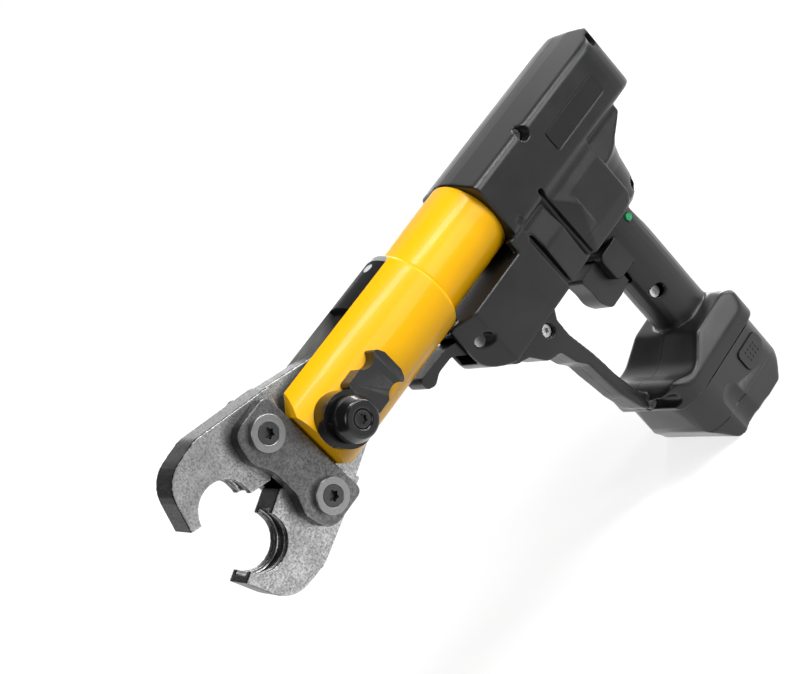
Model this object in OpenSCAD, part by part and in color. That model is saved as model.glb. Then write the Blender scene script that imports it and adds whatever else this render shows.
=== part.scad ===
// Cordless radial press tool: pistol-grip drive unit, swivelling fork head and pressing tongs.
// Millimetres. The origin is the middle of the battery's flat base, +Z is up and the barrel
// lies along X with the jaws towards -X. The ram is back and the jaws stand open.

/* [Barrel and head] */
// Height of the barrel axis above the battery base
axis_h = 211.5; // [210:0.5:216]
// Diameter of the painted barrel
barrel_d = 49.4; // [48.4:0.2:50]
// Length of barrel that shows between the housing and the swivel head
barrel_show = 56; // [54:0.2:60]
// Distance from the origin forward to the front face of the housing
face_reach = 42.5; // [41:0.5:45]
// Diameter of the swivel head
head_d = 58; // [57:0.5:60]
// Length of the swivel head, from its collar to the end of the fork
head_len = 108.8; // [107:0.2:112]
// Width of the slot through the fork
slot_w = 21; // [20.8:0.1:21.6]
// Diameter of the retaining pin that holds the tongs
pin_d = 14; // [12:0.2:14.2]
// Travel of the ram with its two rollers
ram_stroke = 27; // [24:0.5:27.5]

/* [Tongs] */
// Diameter of the press contour when the jaws are shut
mouth_d = 31; // [26:0.5:32]
// Distance from the end of the fork forward to the jaw bolts
bolt_reach = 16.2; // [16:0.1:18]
// Distance between the two jaw bolts
bolt_spread = 49; // [48:0.5:51]
// Thickness of the jaws
jaw_w = 20; // [19:0.2:20.2]
// Thickness of a cheek plate
plate_t = 8.5; // [7:0.1:10]
// Angle through which each jaw shuts
open_angle = 19; // [17:0.5:19.5]

/* [Housing] */
// Width of the motor housing
body_w = 56.5; // [56:0.5:60]
// Height of the motor housing
body_h = 51.2; // [51:0.2:54]
// Distance from the origin back to the rear end of the housing
body_back = 92.5; // [91:0.5:97]
// Wall of the moulded shells
wall = 3; // [2.4:0.1:3.2]
// Width of the grip
grip_w = 34; // [33.5:0.5:37]
// Depth of the grip from front to back
grip_depth = 36; // [35.5:0.5:39]
// Width of the trigger guard
guard_w = 21; // [20:0.5:24]
// Travel of the trigger
trigger_travel = 6; // [3:0.5:6]

/* [Battery] */
// Width of the battery and the foot
battery_w = 70; // [69:0.5:74]
// Length of the battery along the barrel
battery_len = 76; // [75:0.5:80]
// Height of the battery up to the foot
battery_h = 40.5; // [40:0.5:42]
// Travel of a latch button
latch_travel = 2.5; // [1.5:0.5:3]

/* [Hidden] */
$fn = 64;

// Clearances and cuts
running_fit = 0.05;
seat_gap = 0.1;
slide_gap = 0.35;
over = 2;
arc_steps = 6;
reach_share = 0.48;

// Barrel, swivel and ram
barrel_r = barrel_d / 2;
face_x = -face_reach;
collar_x = face_x - barrel_show;
barrel_tail = 30;
barrel_back_x = face_x + barrel_tail;
barrel_edge = 1.2;
barrel_step = 3.2;
barrel_tail_r = barrel_r - barrel_step;
spigot_r = 19;
spigot_len = 12.2;
spigot_x = collar_x - spigot_len;
socket_depth = 13;
ring_set = 5;
ring_w = 2.4;
ring_depth = 1.2;
ring_x = collar_x - ring_set;
bore_r = 15;
bore_len = 67.5;
bore_back_x = spigot_x + bore_len;
gland_len = 14;
gland_back_x = spigot_x + gland_len;
rod_r = 9;
piston_len = 12;
piston_back_gap = 2;
piston_back_x = bore_back_x - piston_back_gap;
piston_front_x = piston_back_x - piston_len;
spring_r = 12;
spring_wire = 2.2;
spring_curls = 5;
spring_sides = 6;
spring_rings = 8;

// Fork head
head_r = head_d / 2;
fork_x = collar_x - head_len;
collar_round = 3;
fork_chamfer = 11;
web_t = 6;
slot_back_x = collar_x - socket_depth - web_t;
cover_len = 35;
cover_set = 5.5;
cover_t = 5.5;
cover_back_x = collar_x - cover_set;
cover_front_x = cover_back_x - cover_len;
cover_floor = head_r - cover_t;
cover_screw_set = 5.5;
cover_screw_x = cover_back_x - cover_screw_set;
cover_screw_r = 1.6;
cover_screw_head_r = 3;
cover_screw_head_t = 2;
cover_screw_len = 5;
cover_screw_z = head_r - seat_gap - cover_screw_head_t;

// Retaining pin with its knob, and the lock slide behind it
pin_set = 14;
pin_x = fork_x + pin_set;
pin_r = pin_d / 2;
pin_far = 24;
flange_r = 15.2;
flange_h = 8.5;
flange_top = head_r + flange_h;
flange_skirt = 6;
flange_flat = 12;
neck_r = 10.8;
neck_h = 2.1;
bell_r = 12.4;
bell_h = 11;
bell_face_r = 9.8;
bell_side_h = 4.9;
bell_y = flange_top + neck_h;
knob_end = bell_y + bell_h;
knob_recess_r = 5.1;
knob_recess_h = 2.4;
knob_screw_r = 2.5;
knob_screw_len = 12;
knob_screw_head_r = 4.7;
knob_screw_head_t = 1.9;
knob_socket_r = 2.7;
lock_len = 28;
lock_w = 23.4;
lock_h = 7.5;
lock_top = head_r + lock_h;
lock_x = pin_x + flange_flat + slide_gap;
lock_travel = 7;
lock_key_w = 9;
lock_key_h = 4;
lock_key_len = 14;
lock_key_set = 3;
lock_round = 2.5;
thumb_r = 7.2;
thumb_x_share = 0.62;
thumb_z_share = 0.62;

// Tongs
bolt_x = fork_x - bolt_reach;
bolt_z = bolt_spread / 2;
bolt_r = 6.5;
bolt_head_r = 5.9;
bolt_socket_r = 3.2;
bolt_socket_depth = 3;
washer_r = 9.9;
washer_t = 3.5;
plate_gap = 0.3;
plate_in = jaw_w / 2 + plate_gap;
plate_out = plate_in + plate_t;
plate_fore = 17;
plate_aft = 14.6;
plate_half_h = 37.6;
plate_waist = 5.2;
plate_corner_in = 4;
lug_in = 6.6;
lug_out = slot_w / 2 - slide_gap;
lug_r = 10;
lug_half_h = 9.2;
lug_root = 12.5;
lug_fore = 5;
mouth_r = mouth_d / 2;
mouth_reach = 34.4;
bead_depth = 2.4;
bead_w = 11;
jaw_split = 0.2;
hub_r = 14.3;
tail_w = 12;
tail_root = 17;
jaw_back_h = 17.8;
jaw_front_len = 56.4;
jaw_foot = 5.5;
tip_share = 0.27;
brow_share = 1.7;
nape_shares = [0.94, 0.84];
tail_len = 63;
tail_under = 5;
pin_room = 0.6;

// Rollers and yoke
roller_r = 9;
roller_w = 12.4;
roller_gap = 0.3;
roller_z = roller_r + roller_gap;
roller_back = 30.8;
roller_x = slot_back_x - roller_back;
cam_gap = 0.4;
cam_steps = 10;
axle_r = 4;
yoke_w = slot_w - 2 * (slide_gap + seat_gap);
yoke_in = roller_w + 2 * slide_gap + seat_gap;
yoke_half_h = 15.8;
yoke_fore = 7;
yoke_round = 6.4;
yoke_end_gap = 1;
yoke_aft = 21;
yoke_back_x = roller_x + yoke_aft;
yoke_bed_x = roller_x + roller_r + yoke_end_gap;
rod_seat = 8;
rod_front_x = yoke_back_x - rod_seat;

// Motor housing, saddle, nose, guard, grip and foot
body_half_w = body_w / 2;
body_half_h = body_h / 2;
crown_half_w = 8.2;
crown_drop = 1.2;
crown_round = 30;
shoulder_round = 6;
side_drop = 7.2;
side_round = 5;
rear_len = 30;
rear_x = body_back - rear_len;
rear_shares = [[-4, 0, 0], [1, 0, 0.27], [1, 1, 0.4], [-4, 1, 0]];
rear_side_r = 20;
cavity_gap = 1.5;
cavity_r = barrel_tail_r + cavity_gap;
rear_wall = 19;
cavity_back = body_back - rear_wall;
belly_drop = 65.5;
belly_z = axis_h - belly_drop;
saddle_back = 34.5;
saddle_set = 5.5;
saddle_front_x = face_x + saddle_set;
saddle_top_w = 51;
saddle_waist_w = 45;
saddle_waist_drop = 22;
saddle_mid_w = 51;
saddle_belly_w = 46;
saddle_curve = 14;
saddle_mid_drop = 39;
saddle_round = 2;
neck_x = 37;
neck_low = 6;
neck_top_r = 38;
neck_rise = 46;
neck_shares = [[0, 0], [0.36, 0], [0.476, 0.087], [0.526, 0.26], [0.576, 0.53], [0.637, 0.7],
    [0.758, 0.84], [0.88, 0.924], [1, 1], [1, 1.16], [0, 1.16]];
panel_proud = 3.6;
panel_set = 26.5;
panel_front_x = saddle_front_x + panel_set;
panel_len = 44.5;
panel_slant = 12.5;
panel_lead = 0.8;
panel_step = 1.6;
panel_round = 2;
panel_drop = 11.5;
panel_z = belly_z;
panel_h = axis_h - panel_drop - panel_z;
panel_shares = [[0, 0, 0.02], [0, 1, 0.03], [1, 1, 0.06], [1, 0.15, 0.12], [0.93, 0.03, 0.12],
    [0.72, 0, 0.05]];
panel_notch_w = 1;
panel_notch_rise = 8;
panel_notch_pitch = 3;
panel_groove_w = 3.6;
panel_groove_depth = 3.2;
badge_x = 14;
badge_len = 51;
badge_h = 14;
badge_low = 8.5;
badge_depth = 0.4;
badge_round = 2;
seam_w = 4.4;
seam_depth = 4.6;
seam_top_drop = 12.5;
seam_top_depth = 2.2;
nose_over = 6.5;
nose_reach = face_reach + barrel_show + nose_over;
nose_x = -nose_reach;
nose_w = 50;
nose_tip_w = 20;
nose_slant = 11;
nose_drop = 27;
nose_top_z = axis_h - nose_drop;
nose_round = 3;
nose_bulb_r = 14;
nose_head_gap = 1;
nose_wall = 4;
tab_len = 10;
tab_h = 8.5;
tab_w = 5.5;
foot_x = -42;
guard_half_w = guard_w / 2;
guard_x = nose_x;
guard_rise = 2.8;
guard_z = battery_h + guard_rise;
guard_foot = 8;
guard_len = foot_x + guard_foot - guard_x;
guard_top = 22.3;
guard_h = belly_z + guard_top - guard_z;
guard_shares = [[0.86, 0.98, 0], [0.02, 0.99, 0.05], [0.127, 0.854, 0.12], [0.239, 0.758, 0.1],
    [0.366, 0.726, 0.06], [0.472, 0.634, 0.1], [0.606, 0.61, 0.06], [0.655, 0.51, 0.1],
    [0.721, 0.454, 0.1], [0.738, 0.342, 0.3], [0.768, 0.206, 0.12], [0.831, 0.078, 0.08],
    [0.93, 0.006, 0.04], [1, 0, 0.03], [0.972, 0.07, 0.06], [0.896, 0.182, 0.1], [0.851, 0.318, 0.3],
    [0.82, 0.478, 0.3], [0.775, 0.622, 0.1], [0.78, 0.722, 0.08], [0.845, 0.774, 0.06]];
grip_x = 24;
grip_round = 15.5;
grip_rise = 6;
grip_top_z = belly_z + grip_rise;
grip_foot = 5;
grip_low_z = battery_h + grip_foot;
grip_floor = 17.5;
grip_cavity_z = battery_h + grip_floor;
grip_back_shares = [[-1.2, -0.05, 0], [1.1, -0.05, 0], [1.1, 0.55, 0], [1, 0.61, 1], [0.72, 0.78, 1],
    [0.63, 0.88, 0.5], [0.63, 1.05, 0], [-1.2, 1.05, 0]];
bay_fore = 10;
bay_len = 20;
bay_w = 30;
bay_drop = 29;
bay_z = belly_z - bay_drop;
bay_h = 19.5;
bay_round = 4;
foot_gap = 0.3;
foot_z = battery_h + foot_gap;
foot_h = 22.7;
foot_len = 87;
foot_back = foot_x + foot_len;
foot_shares = [[0.047, 0, 0.06], [1, 0, 0.05], [1, 0.74, 0.35], [0.91, 1, 0.2], [0.54, 1, 0.25],
    [0.283, 0.48, 0.6], [0.094, 0.88, 0.4], [0, 0.5, 0.3]];
foot_side_h = 9;
foot_top_w = 56;
foot_front_r = 20;
foot_back_r = 12;

// Screws of the housing: shares of its length, height and half width, the last for the head's seat
screw_r = 2;
screw_head_r = 3.8;
screw_head_t = 2.6;
screw_recess_r = 4.3;
screw_boss_r = 4.8;
screw_end = 13;
high_screw_shares = [[0.5519, 0.2366, 0.62], [0.9595, 0.2366, 0.45], [0.7747, -0.9878, 0.18]];
low_screw_shares = [[0.5975, 0.4844, 0.27], [0.3367, 0.0834, 0.18], [0.2354, 0.8891, 0.18]];
screw_socket_r = 2.3;
socket_depth_share = 0.7;
star_shares = [0.78, 0.8, 0.2];
star_points = 6;
screw_span = body_back + nose_reach;
screw_places = concat([for (s = high_screw_shares)
    [nose_x + s[0] * screw_span, axis_h + s[1] * belly_drop, s[2] * body_half_w]],
    [for (s = low_screw_shares)
    [nose_x + s[0] * screw_span, battery_h + s[1] * (belly_z - battery_h), s[2] * body_half_w]]);

// Hydraulic pump, gearbox and motor
pump_len = 30.5;
pump_back_x = barrel_back_x + pump_len;
pump_half_w = 15;
pump_low = 16.5;
pump_high = 10;
pump_bore_r = 7.6;
pump_bore_len = 12;
gear_len = 14;
gear_r = 18;
gear_back_x = pump_back_x + gear_len;
gear_wall = 2.5;
gear_bore_r = 12;
motor_r = 18.5;
motor_end_gap = 1.5;
motor_back_x = cavity_back - motor_end_gap;
motor_wall = 2;
motor_bore_r = 15;
rotor_r = 14.5;
rotor_gap = 3;
shaft_r = 2.5;
pinion_r = 4;
pinion_len = 5;
carrier_r = 11.5;
carrier_t = 4;
carrier_gap = 0.5;
eccentric_r = 6;
eccentric_off = 1.2;
eccentric_len = 8;
drive_r = 4;
tank_r = 13;
tank_end_gap = 1;
tank_len = saddle_back - tank_end_gap - barrel_back_x;
tank_drop = 41.5;
tank_neck_r = 4;
tank_neck_set = 16;
tank_neck_x = barrel_back_x + tank_neck_set;

// Switch, board, terminals and light in the grip
switch_x = 14;
switch_len = 17;
switch_w = 20;
switch_drop = 40;
switch_z = belly_z - switch_drop;
switch_h = 26;
board_t = 1.6;
board_back = 5;
terminal_h = 6;
board_room = switch_z - grip_cavity_z - terminal_h;
board_rise_share = 0.19;
board_share = 0.714;
board_z = grip_cavity_z + terminal_h + board_rise_share * board_room;
board_h = board_share * board_room;
board_inset = 2.8;
chip_t = 2.2;
terminal_x = 15;
terminal_len = 18;
terminal_w = 20;
blade_t = 1.2;
blade_len = 14;
blade_drop = 9;
blade_y = 6;
light_x = 28.5;
light_drop = 8;
light_z = belly_z - light_drop;
light_r = 2.3;
light_len = 6;
light_proud = 0.8;

// Trigger and reset lever
trigger_w = 16;
trigger_x = -20;
trigger_len = 26;
trigger_drop = 39;
trigger_z = belly_z - trigger_drop;
trigger_h = 27;
trigger_shares = [[0, 1, 0.08], [0.05, 0.62, 0.8], [0.02, 0.3, 0.5], [0.2, 0, 0.14], [0.6, 0, 0.02],
    [1, 0.06, 0.02], [1, 0.94, 0.02], [0.6, 1, 0.02]];
lever_w = 15;
lever_len = 52;
lever_h = 21;
lever_set = 19;
lever_back_x = nose_x + lever_set;
lever_x = lever_back_x - lever_len;
lever_drop = 32;
lever_z = axis_h - lever_drop - lever_h;
lever_shares = [[0.01, 0.976, 0.15], [0.5, 0.93, 0.2], [0.654, 0.786, 0.2], [1, 0.705, 0.1],
    [1, 0.24, 0.12], [0.8, 0, 0.3], [0.62, 0.36, 0.3], [0.48, 0.667, 0.3], [0.25, 0.69, 0.4],
    [0.115, 0.54, 0.2], [0.01, 0.66, 0.15]];
lever_angle = 8;
pivot_set = 8;
pivot_x = nose_x + pivot_set;
pivot_rise = 9.5;
pivot_z = lever_z + pivot_rise;
pivot_r = 2.5;
pivot_head_r = 4;
pivot_head_t = 2.4;
pivot_half = 12;
pivot_boss_r = 6.2;
lever_room = 1.2;
lever_roof = 6.5;

// Battery
battery_back = 40;
battery_x = battery_back - battery_len;
battery_half_w = battery_w / 2;
battery_front_r = 22;
battery_back_r = 12;
battery_shares = [[0.17, 0, 0.12], [0.79, 0, 0.08], [0.985, 0.31, 0.15], [1, 1, 0.02], [0, 1, 0.02],
    [0.02, 0.45, 0.4]];
tray_h = 15;
tray_seam = 0.1;
shell_wall = 1.9;
tower_x = 12;
tower_len = 24;
tower_w = 24;
tower_h = 15;
tower_round = 5;
tower_room = 0.5;
tower_head = 1;
blade_slot_w = 2.4;
cell_r = 9.1;
cell_len = 47;
cell_x = 9.4;
cell_mid_x = 0.5;
cell_room = 0.6;
cell_low_z = shell_wall + cell_r;
cell_high_z = cell_low_z + 2 * cell_r + seat_gap;
strap_t = 0.4;
strap_w = 8;
scallop_r = 16;
scallop_x = -10;
scallop_h = 22;
scallop_bite = 2.2;
latch_x = 10.5;
latch_len = 20.5;
latch_z = 21;
latch_h = 14;
latch_shares = [[0, 0], [0.72, 0], [1, 0.42], [1, 1], [0, 1]];
latch_t = 6;
latch_proud = 1.2;
latch_round = 3;
dot_r = 0.8;
dot_rows = 3;
dot_columns = 4;
dot_pitch = 2.9;
dot_proud = 0.4;
pack_screw_r = 1.5;
pack_screw_head_r = 2.8;
pack_screw_len = 14;
pack_screw_x = 16;
pack_screw_y = 28.5;
pack_screw_set = 2.5;

// Unit vector along v
function unit(v) = v / norm(v);

// Arc that rounds the corner p between its neighbours a and b
function corner_arc(a, p, b, r) =
    let (u = unit(a - p), v = unit(b - p), half = acos(u * v) / 2)
    let (reach = min(r / tan(half), reach_share * min(norm(a - p), norm(b - p))))
    let (rad = reach * tan(half), centre = p + unit(u + v) * rad / sin(half))
    let (from = p + u * reach - centre, to = p + v * reach - centre)
    let (start = atan2(from[1], from[0]))
    let (turn = (atan2(to[1], to[0]) - start + 540) % 360 - 180)
    [for (i = [0 : arc_steps])
        centre + rad * [cos(start + turn * i / arc_steps), sin(start + turn * i / arc_steps)]];

// Closed outline through corners [across, up, radius], with each corner rounded
function rounded(corners) =
    let (n = len(corners))
    [for (i = [0 : n - 1])
        let (before = corners[(i + n - 1) % n], here = corners[i], after = corners[(i + 1) % n])
        let (a = [before[0], before[1]], p = [here[0], here[1]], b = [after[0], after[1]])
        each here[2] > 0 ? corner_arc(a, p, b, here[2]) : [p]];

// Corners given as shares of a box, with radii as shares of its smaller side
function in_box(shares, lo, size) =
    [for (s = shares) [lo[0] + s[0] * size[0], lo[1] + s[1] * size[1], s[2] * min(size[0], size[1])]];

// Rectangle with one corner radius
function soft_box(lo, hi, r) =
    rounded([[lo[0], lo[1], r], [hi[0], lo[1], r], [hi[0], hi[1], r], [lo[0], hi[1], r]]);

// The same outline mirrored across the first axis
function both_ways(corners) =
    concat(corners, [for (i = [len(corners) - 1 : -1 : 0]) [corners[i][0], -corners[i][1], corners[i][2]]]);

// Round bar along X on the barrel axis
module rod_x(x0, x1, r)
    translate([x0, 0, axis_h]) rotate([0, 90, 0]) cylinder(h = x1 - x0, r = r);

// Round bar along Y
module rod_y(x, z, y0, y1, r)
    translate([x, y0, z]) rotate([-90, 0, 0]) cylinder(h = y1 - y0, r = r);

// Box between two corners
module block(lo, hi)
    translate(lo) cube(hi - lo);

// Side outline in X and Z, extruded across Y
module side_plate(y0, y1, outline)
    translate([0, y1, 0]) rotate([90, 0, 0]) linear_extrude(height = y1 - y0) polygon(outline);

// Cross section in Y and Z, extruded along X
module across(x0, x1, outline)
    translate([x0, 0, 0]) rotate([90, 0, 90]) linear_extrude(height = x1 - x0) polygon(outline);

// Plan outline in X and Y, extruded upwards
module plan(z0, z1, outline)
    translate([0, 0, z0]) linear_extrude(height = z1 - z0) polygon(outline);

// Profile of [x, radius] points turned about the barrel axis
module turned_x(profile)
    translate([0, 0, axis_h]) rotate([0, 90, 0])
        rotate_extrude() polygon([for (p = profile) [p[1], p[0]]]);

// Profile of [y, radius] points turned about a line along Y
module turned_y(x, z, profile)
    translate([x, 0, z]) rotate([-90, 0, 0])
        rotate_extrude() polygon([for (p = profile) [p[1], p[0]]]);

// Motor housing

// Facetted section of the motor housing, rounded off towards the rear
module motor_shell() {
    w = body_half_w;
    h = body_half_h;
    side = h - side_drop;
    brow = h - crown_drop;
    upper = [[w, side, side_round], [crown_half_w, brow, shoulder_round], [0, h, crown_round],
        [-crown_half_w, brow, shoulder_round], [-w, side, side_round]];
    section = [for (p = rounded(concat(upper, [for (q = upper) [-q[0], -q[1], q[2]]]))) p + [0, axis_h]];
    intersection() {
        across(face_x, body_back, section);
        side_plate(-body_w, body_w, rounded(in_box(rear_shares, [rear_x, axis_h - h], [rear_len, body_h])));
        plan(0, 2 * axis_h, rounded([[face_x - over, -w, 0], [body_back, -w, rear_side_r],
            [body_back, w, rear_side_r], [face_x - over, w, 0]]));
    }
}

// Section of the saddle, widened on both sides
function saddle_section(extra) =
    [for (p = rounded(both_ways([[axis_h, saddle_top_w / 2, 0],
        [axis_h - saddle_waist_drop, saddle_waist_w / 2, saddle_curve],
        [axis_h - saddle_mid_drop, saddle_mid_w / 2, saddle_curve], [belly_z, saddle_belly_w / 2, 0],
        [belly_z - neck_low, saddle_belly_w / 2, 0]])))
        [p[1] + sign(p[1]) * extra, p[0]]];

// Block under the motor housing
module saddle() {
    intersection() {
        side_plate(-body_w, body_w, rounded([[saddle_front_x, belly_z, saddle_round],
            [saddle_back, belly_z, saddle_round], [saddle_back, axis_h, 0], [saddle_front_x, axis_h, 0]]));
        across(saddle_front_x - over, saddle_back + over, saddle_section(0));
    }
}

// Neck that flares from the grip up into the motor housing
module neck() {
    intersection() {
        translate([neck_x, 0, belly_z - neck_low]) rotate_extrude()
            polygon([for (n = neck_shares) [n[0] * neck_top_r, n[1] * neck_rise]]);
        across(neck_x - body_w, body_back, saddle_section(0));
    }
}

// Raised panel on the sides over the grip, with a slanted front
module saddle_panel() {
    back = panel_front_x + panel_len;
    crest = panel_front_x + panel_slant;
    lead = saddle_mid_w / 2 + panel_lead;
    full = saddle_top_w / 2 + panel_proud;
    difference() {
        intersection() {
            side_plate(-body_w, body_w, rounded(in_box(panel_shares, [panel_front_x, panel_z],
                [panel_len, panel_h])));
            across(panel_front_x - over, back + over, saddle_section(panel_proud));
            plan(panel_z - over, axis_h, rounded(both_ways([[back, full - panel_step, panel_round],
                [crest, full - panel_step, 0], [crest, full, 0], [panel_front_x, lead, 0]])));
        }
        for (side = [0, 1], i = [0, 1])
            mirror([0, side, 0])
                translate([panel_front_x - over, lead, panel_z + panel_notch_rise + i * panel_notch_pitch])
                    cube([panel_slant + over, body_w, panel_notch_w]);
    }
}

// Nose block under the barrel
module nose_block() {
    corners = [[saddle_front_x + over, nose_w / 2, 0], [nose_x + nose_slant, nose_w / 2, nose_round],
        [nose_x, nose_tip_w / 2, nose_round]];
    intersection() {
        plan(belly_z, nose_top_z, rounded(both_ways(corners)));
        side_plate(-nose_w, nose_w, rounded([[nose_x, belly_z, nose_bulb_r], [saddle_back, belly_z, 0],
            [saddle_back, nose_top_z, 0], [nose_x, nose_top_z, nose_round]]));
    }
    for (side = [0, 1])
        mirror([0, side, 0])
            block([saddle_front_x - tab_len, nose_w / 2 - tab_w, belly_z + wall],
                [saddle_front_x + over, nose_w / 2, nose_top_z + tab_h]);
}

// Knuckle under the nose and the guard bar down to the foot
module guard() {
    side_plate(-guard_half_w, guard_half_w, rounded(in_box(guard_shares, [guard_x, guard_z],
        [guard_len, guard_h])));
}

// Upright prism of the grip, drawn in by an inset and hollowed under the neck
module grip(inset, z0, z1) {
    intersection() {
        plan(z0, z1, soft_box([grip_x + inset - grip_depth / 2, inset - grip_w / 2],
            [grip_x + grip_depth / 2 - inset, grip_w / 2 - inset], grip_round - inset));
        translate([-inset, 0, 0])
            side_plate(-grip_w, grip_w, rounded(in_box(grip_back_shares, [grip_x, grip_low_z],
                [grip_depth / 2, grip_top_z - grip_low_z])));
    }
}

// Raised bay round the trigger
module trigger_bay() {
    front = grip_x - grip_depth / 2 - bay_fore;
    side_plate(-bay_w / 2, bay_w / 2, soft_box([front, bay_z], [front + bay_len, bay_z + bay_h], bay_round));
}

// Foot that the battery slides under
module foot() {
    half = battery_half_w;
    intersection() {
        side_plate(-battery_w, battery_w, rounded(in_box(foot_shares, [foot_x, foot_z],
            [foot_len, foot_h])));
        plan(foot_z - over, foot_z + foot_h + over, rounded([[foot_x, -half, foot_front_r],
            [foot_back, -half, foot_back_r], [foot_back, half, foot_back_r],
            [foot_x, half, foot_front_r]]));
        across(foot_x - over, foot_back + over, [[-half, foot_z - over], [half, foot_z - over],
            [half, foot_z + foot_side_h], [foot_top_w / 2, foot_z + foot_h + over],
            [-foot_top_w / 2, foot_z + foot_h + over], [-half, foot_z + foot_side_h]]);
    }
}

// Grooves between the nose block, the saddle and the raised panel
module seam_grooves() {
    for (side = [0, 1])
        mirror([0, side, 0]) {
            block([saddle_front_x, nose_w / 2 - seam_depth, belly_z - over],
                [saddle_front_x + seam_w, body_w, nose_top_z]);
            block([saddle_front_x, body_half_w - seam_top_depth, belly_z],
                [saddle_front_x + seam_w, body_w, axis_h - seam_top_drop]);
            block([panel_front_x - panel_groove_w, saddle_mid_w / 2 - panel_groove_depth, belly_z],
                [panel_front_x, body_w, axis_h - seam_top_drop]);
        }
    rod_x(nose_x - over, collar_x + nose_head_gap, head_r + nose_head_gap);
}

// Room inside the shells
module housing_room() {
    rod_x(face_x + wall, cavity_back, cavity_r);
    rod_x(face_x - over, face_x + wall + over, barrel_tail_r + seat_gap);
    grip(wall, grip_cavity_z, grip_top_z);
    block([saddle_front_x + 2 * wall, 3 * wall - saddle_belly_w / 2, belly_z + wall + over],
        [saddle_back, saddle_belly_w / 2 - 3 * wall, axis_h]);
    block([nose_x + nose_slant + nose_wall, nose_wall - nose_w / 2, belly_z + wall + over],
        [saddle_front_x - wall, nose_w / 2 - nose_wall, nose_top_z - wall]);
    lever_slot();
    trigger_slot();
    tower_room_cut();
}

// Slot for the trigger through the front of the grip
module trigger_slot() {
    half = trigger_w / 2 + slide_gap;
    block([grip_x - grip_depth / 2 - bay_fore - over, -half, trigger_z - slide_gap],
        [grip_x, half, trigger_z + trigger_h + slide_gap]);
}

// Slot for the reset lever through the nose
module lever_slot() {
    half = lever_w / 2 + slide_gap;
    block([nose_x - over, -half, lever_z - lever_room],
        [lever_back_x + over, half, nose_top_z - lever_roof]);
}

// Ribs that hold the switch from both sides
module switch_ribs() {
    for (side = [0, 1], x = [switch_x + wall, switch_x + switch_len - 2 * wall])
        mirror([0, side, 0])
            block([x, switch_w / 2, switch_z + wall],
                [x + wall, (grip_w - wall) / 2, switch_z + switch_h - wall]);
}

// Well in the foot for the contact tower of the battery, with slots for the blades
module tower_room_cut() {
    room = tower_room;
    top = battery_h + tower_h + tower_head;
    plan(foot_z - over, top, soft_box([tower_x - room, -tower_w / 2 - room],
        [tower_x + tower_len + room, tower_w / 2 + room], tower_round));
    for (side = [-1, 1])
        translate([terminal_x + (terminal_len - blade_len) / 2 - seat_gap,
            side * blade_y - blade_t / 2 - seat_gap, top - over])
            cube([blade_len + 2 * seat_gap, blade_t + 2 * seat_gap, grip_floor - tower_h + over]);
}

// Six-lobed socket sunk along Y into a face
module star_socket(x, z, y, depth, r) {
    rod_y(x, z, y - over, y + depth, r * star_shares[0]);
    for (i = [0 : star_points - 1])
        let (turn = 360 * i / star_points, out = r * star_shares[1])
            rod_y(x + out * cos(turn), z + out * sin(turn), y - over, y + depth, r * star_shares[2]);
}

// Both shells as one hollow moulding
module housing() {
    difference() {
        union() {
            difference() {
                union() {
                    motor_shell();
                    saddle();
                    neck();
                    saddle_panel();
                    nose_block();
                    guard();
                    grip(0, grip_low_z, grip_top_z);
                    trigger_bay();
                    foot();
                }
                housing_room();
                seam_grooves();
            }
            for (s = screw_places)
                rod_y(s[0], s[1], -s[2] - wall / 2, s[2] + wall / 2, screw_boss_r);
            switch_ribs();
            for (side = [-1, 1])
                rod_y(pivot_x, pivot_z, side > 0 ? lever_w / 2 + slide_gap : -nose_tip_w / 2,
                    side > 0 ? nose_tip_w / 2 : -lever_w / 2 - slide_gap, pivot_boss_r);
        }
        for (s = screw_places) {
            rod_y(s[0], s[1], -body_w, -s[2], screw_recess_r);
            rod_y(s[0], s[1], -s[2] - over, screw_end + over, screw_r + running_fit);
        }
        rod_y(pivot_x, pivot_z, -body_w, pivot_half, pivot_r + running_fit);
        rod_y(pivot_x, pivot_z, -body_w, -pivot_half, pivot_head_r + seat_gap);
    }
}

// Left shell, on the side of the screw heads
module housing_left() {
    color("#1c1d1f") difference() {
        intersection() {
            housing();
            block([-body_w - nose_reach, -body_w, 0], [2 * body_back, 0, 2 * axis_h]);
        }
        rod_y(light_x, light_z, -body_w, 0, light_r + seat_gap);
        side_plate(-body_w, badge_depth - body_half_w, soft_box([badge_x, axis_h - badge_low],
            [badge_x + badge_len, axis_h - badge_low + badge_h], badge_round));
    }
}

// Right shell
module housing_right() {
    color("#1c1d1f") intersection() {
        housing();
        block([-body_w - nose_reach, 0, 0], [2 * body_back, body_w, 2 * axis_h]);
    }
}

// Screws that hold the shells together
module housing_screws() {
    color("#50545a") for (s = screw_places) {
        difference() {
            rod_y(s[0], s[1], -s[2] - screw_head_t, -s[2], screw_head_r);
            star_socket(s[0], s[1], -s[2] - screw_head_t, screw_head_t * socket_depth_share, screw_socket_r);
        }
        rod_y(s[0], s[1], -s[2] - running_fit, screw_end, screw_r);
    }
}

// Drive train on the barrel axis

// Painted barrel with the spigot that the head turns on and the bore of the ram
module hydraulic_barrel() {
    groove_r = spigot_r - ring_depth;
    color("#f2b90f") turned_x([[barrel_back_x, 0], [barrel_back_x, barrel_tail_r],
        [face_x - seat_gap, barrel_tail_r], [face_x - seat_gap, barrel_r], [collar_x + barrel_edge, barrel_r],
        [collar_x, barrel_r - barrel_edge], [collar_x, spigot_r],
        [ring_x + ring_w / 2 + seat_gap, spigot_r], [ring_x + ring_w / 2 + seat_gap, groove_r],
        [ring_x - ring_w / 2 - seat_gap, groove_r], [ring_x - ring_w / 2 - seat_gap, spigot_r],
        [spigot_x, spigot_r], [spigot_x, bore_r], [bore_back_x, bore_r], [bore_back_x, 0]]);
}

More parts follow.
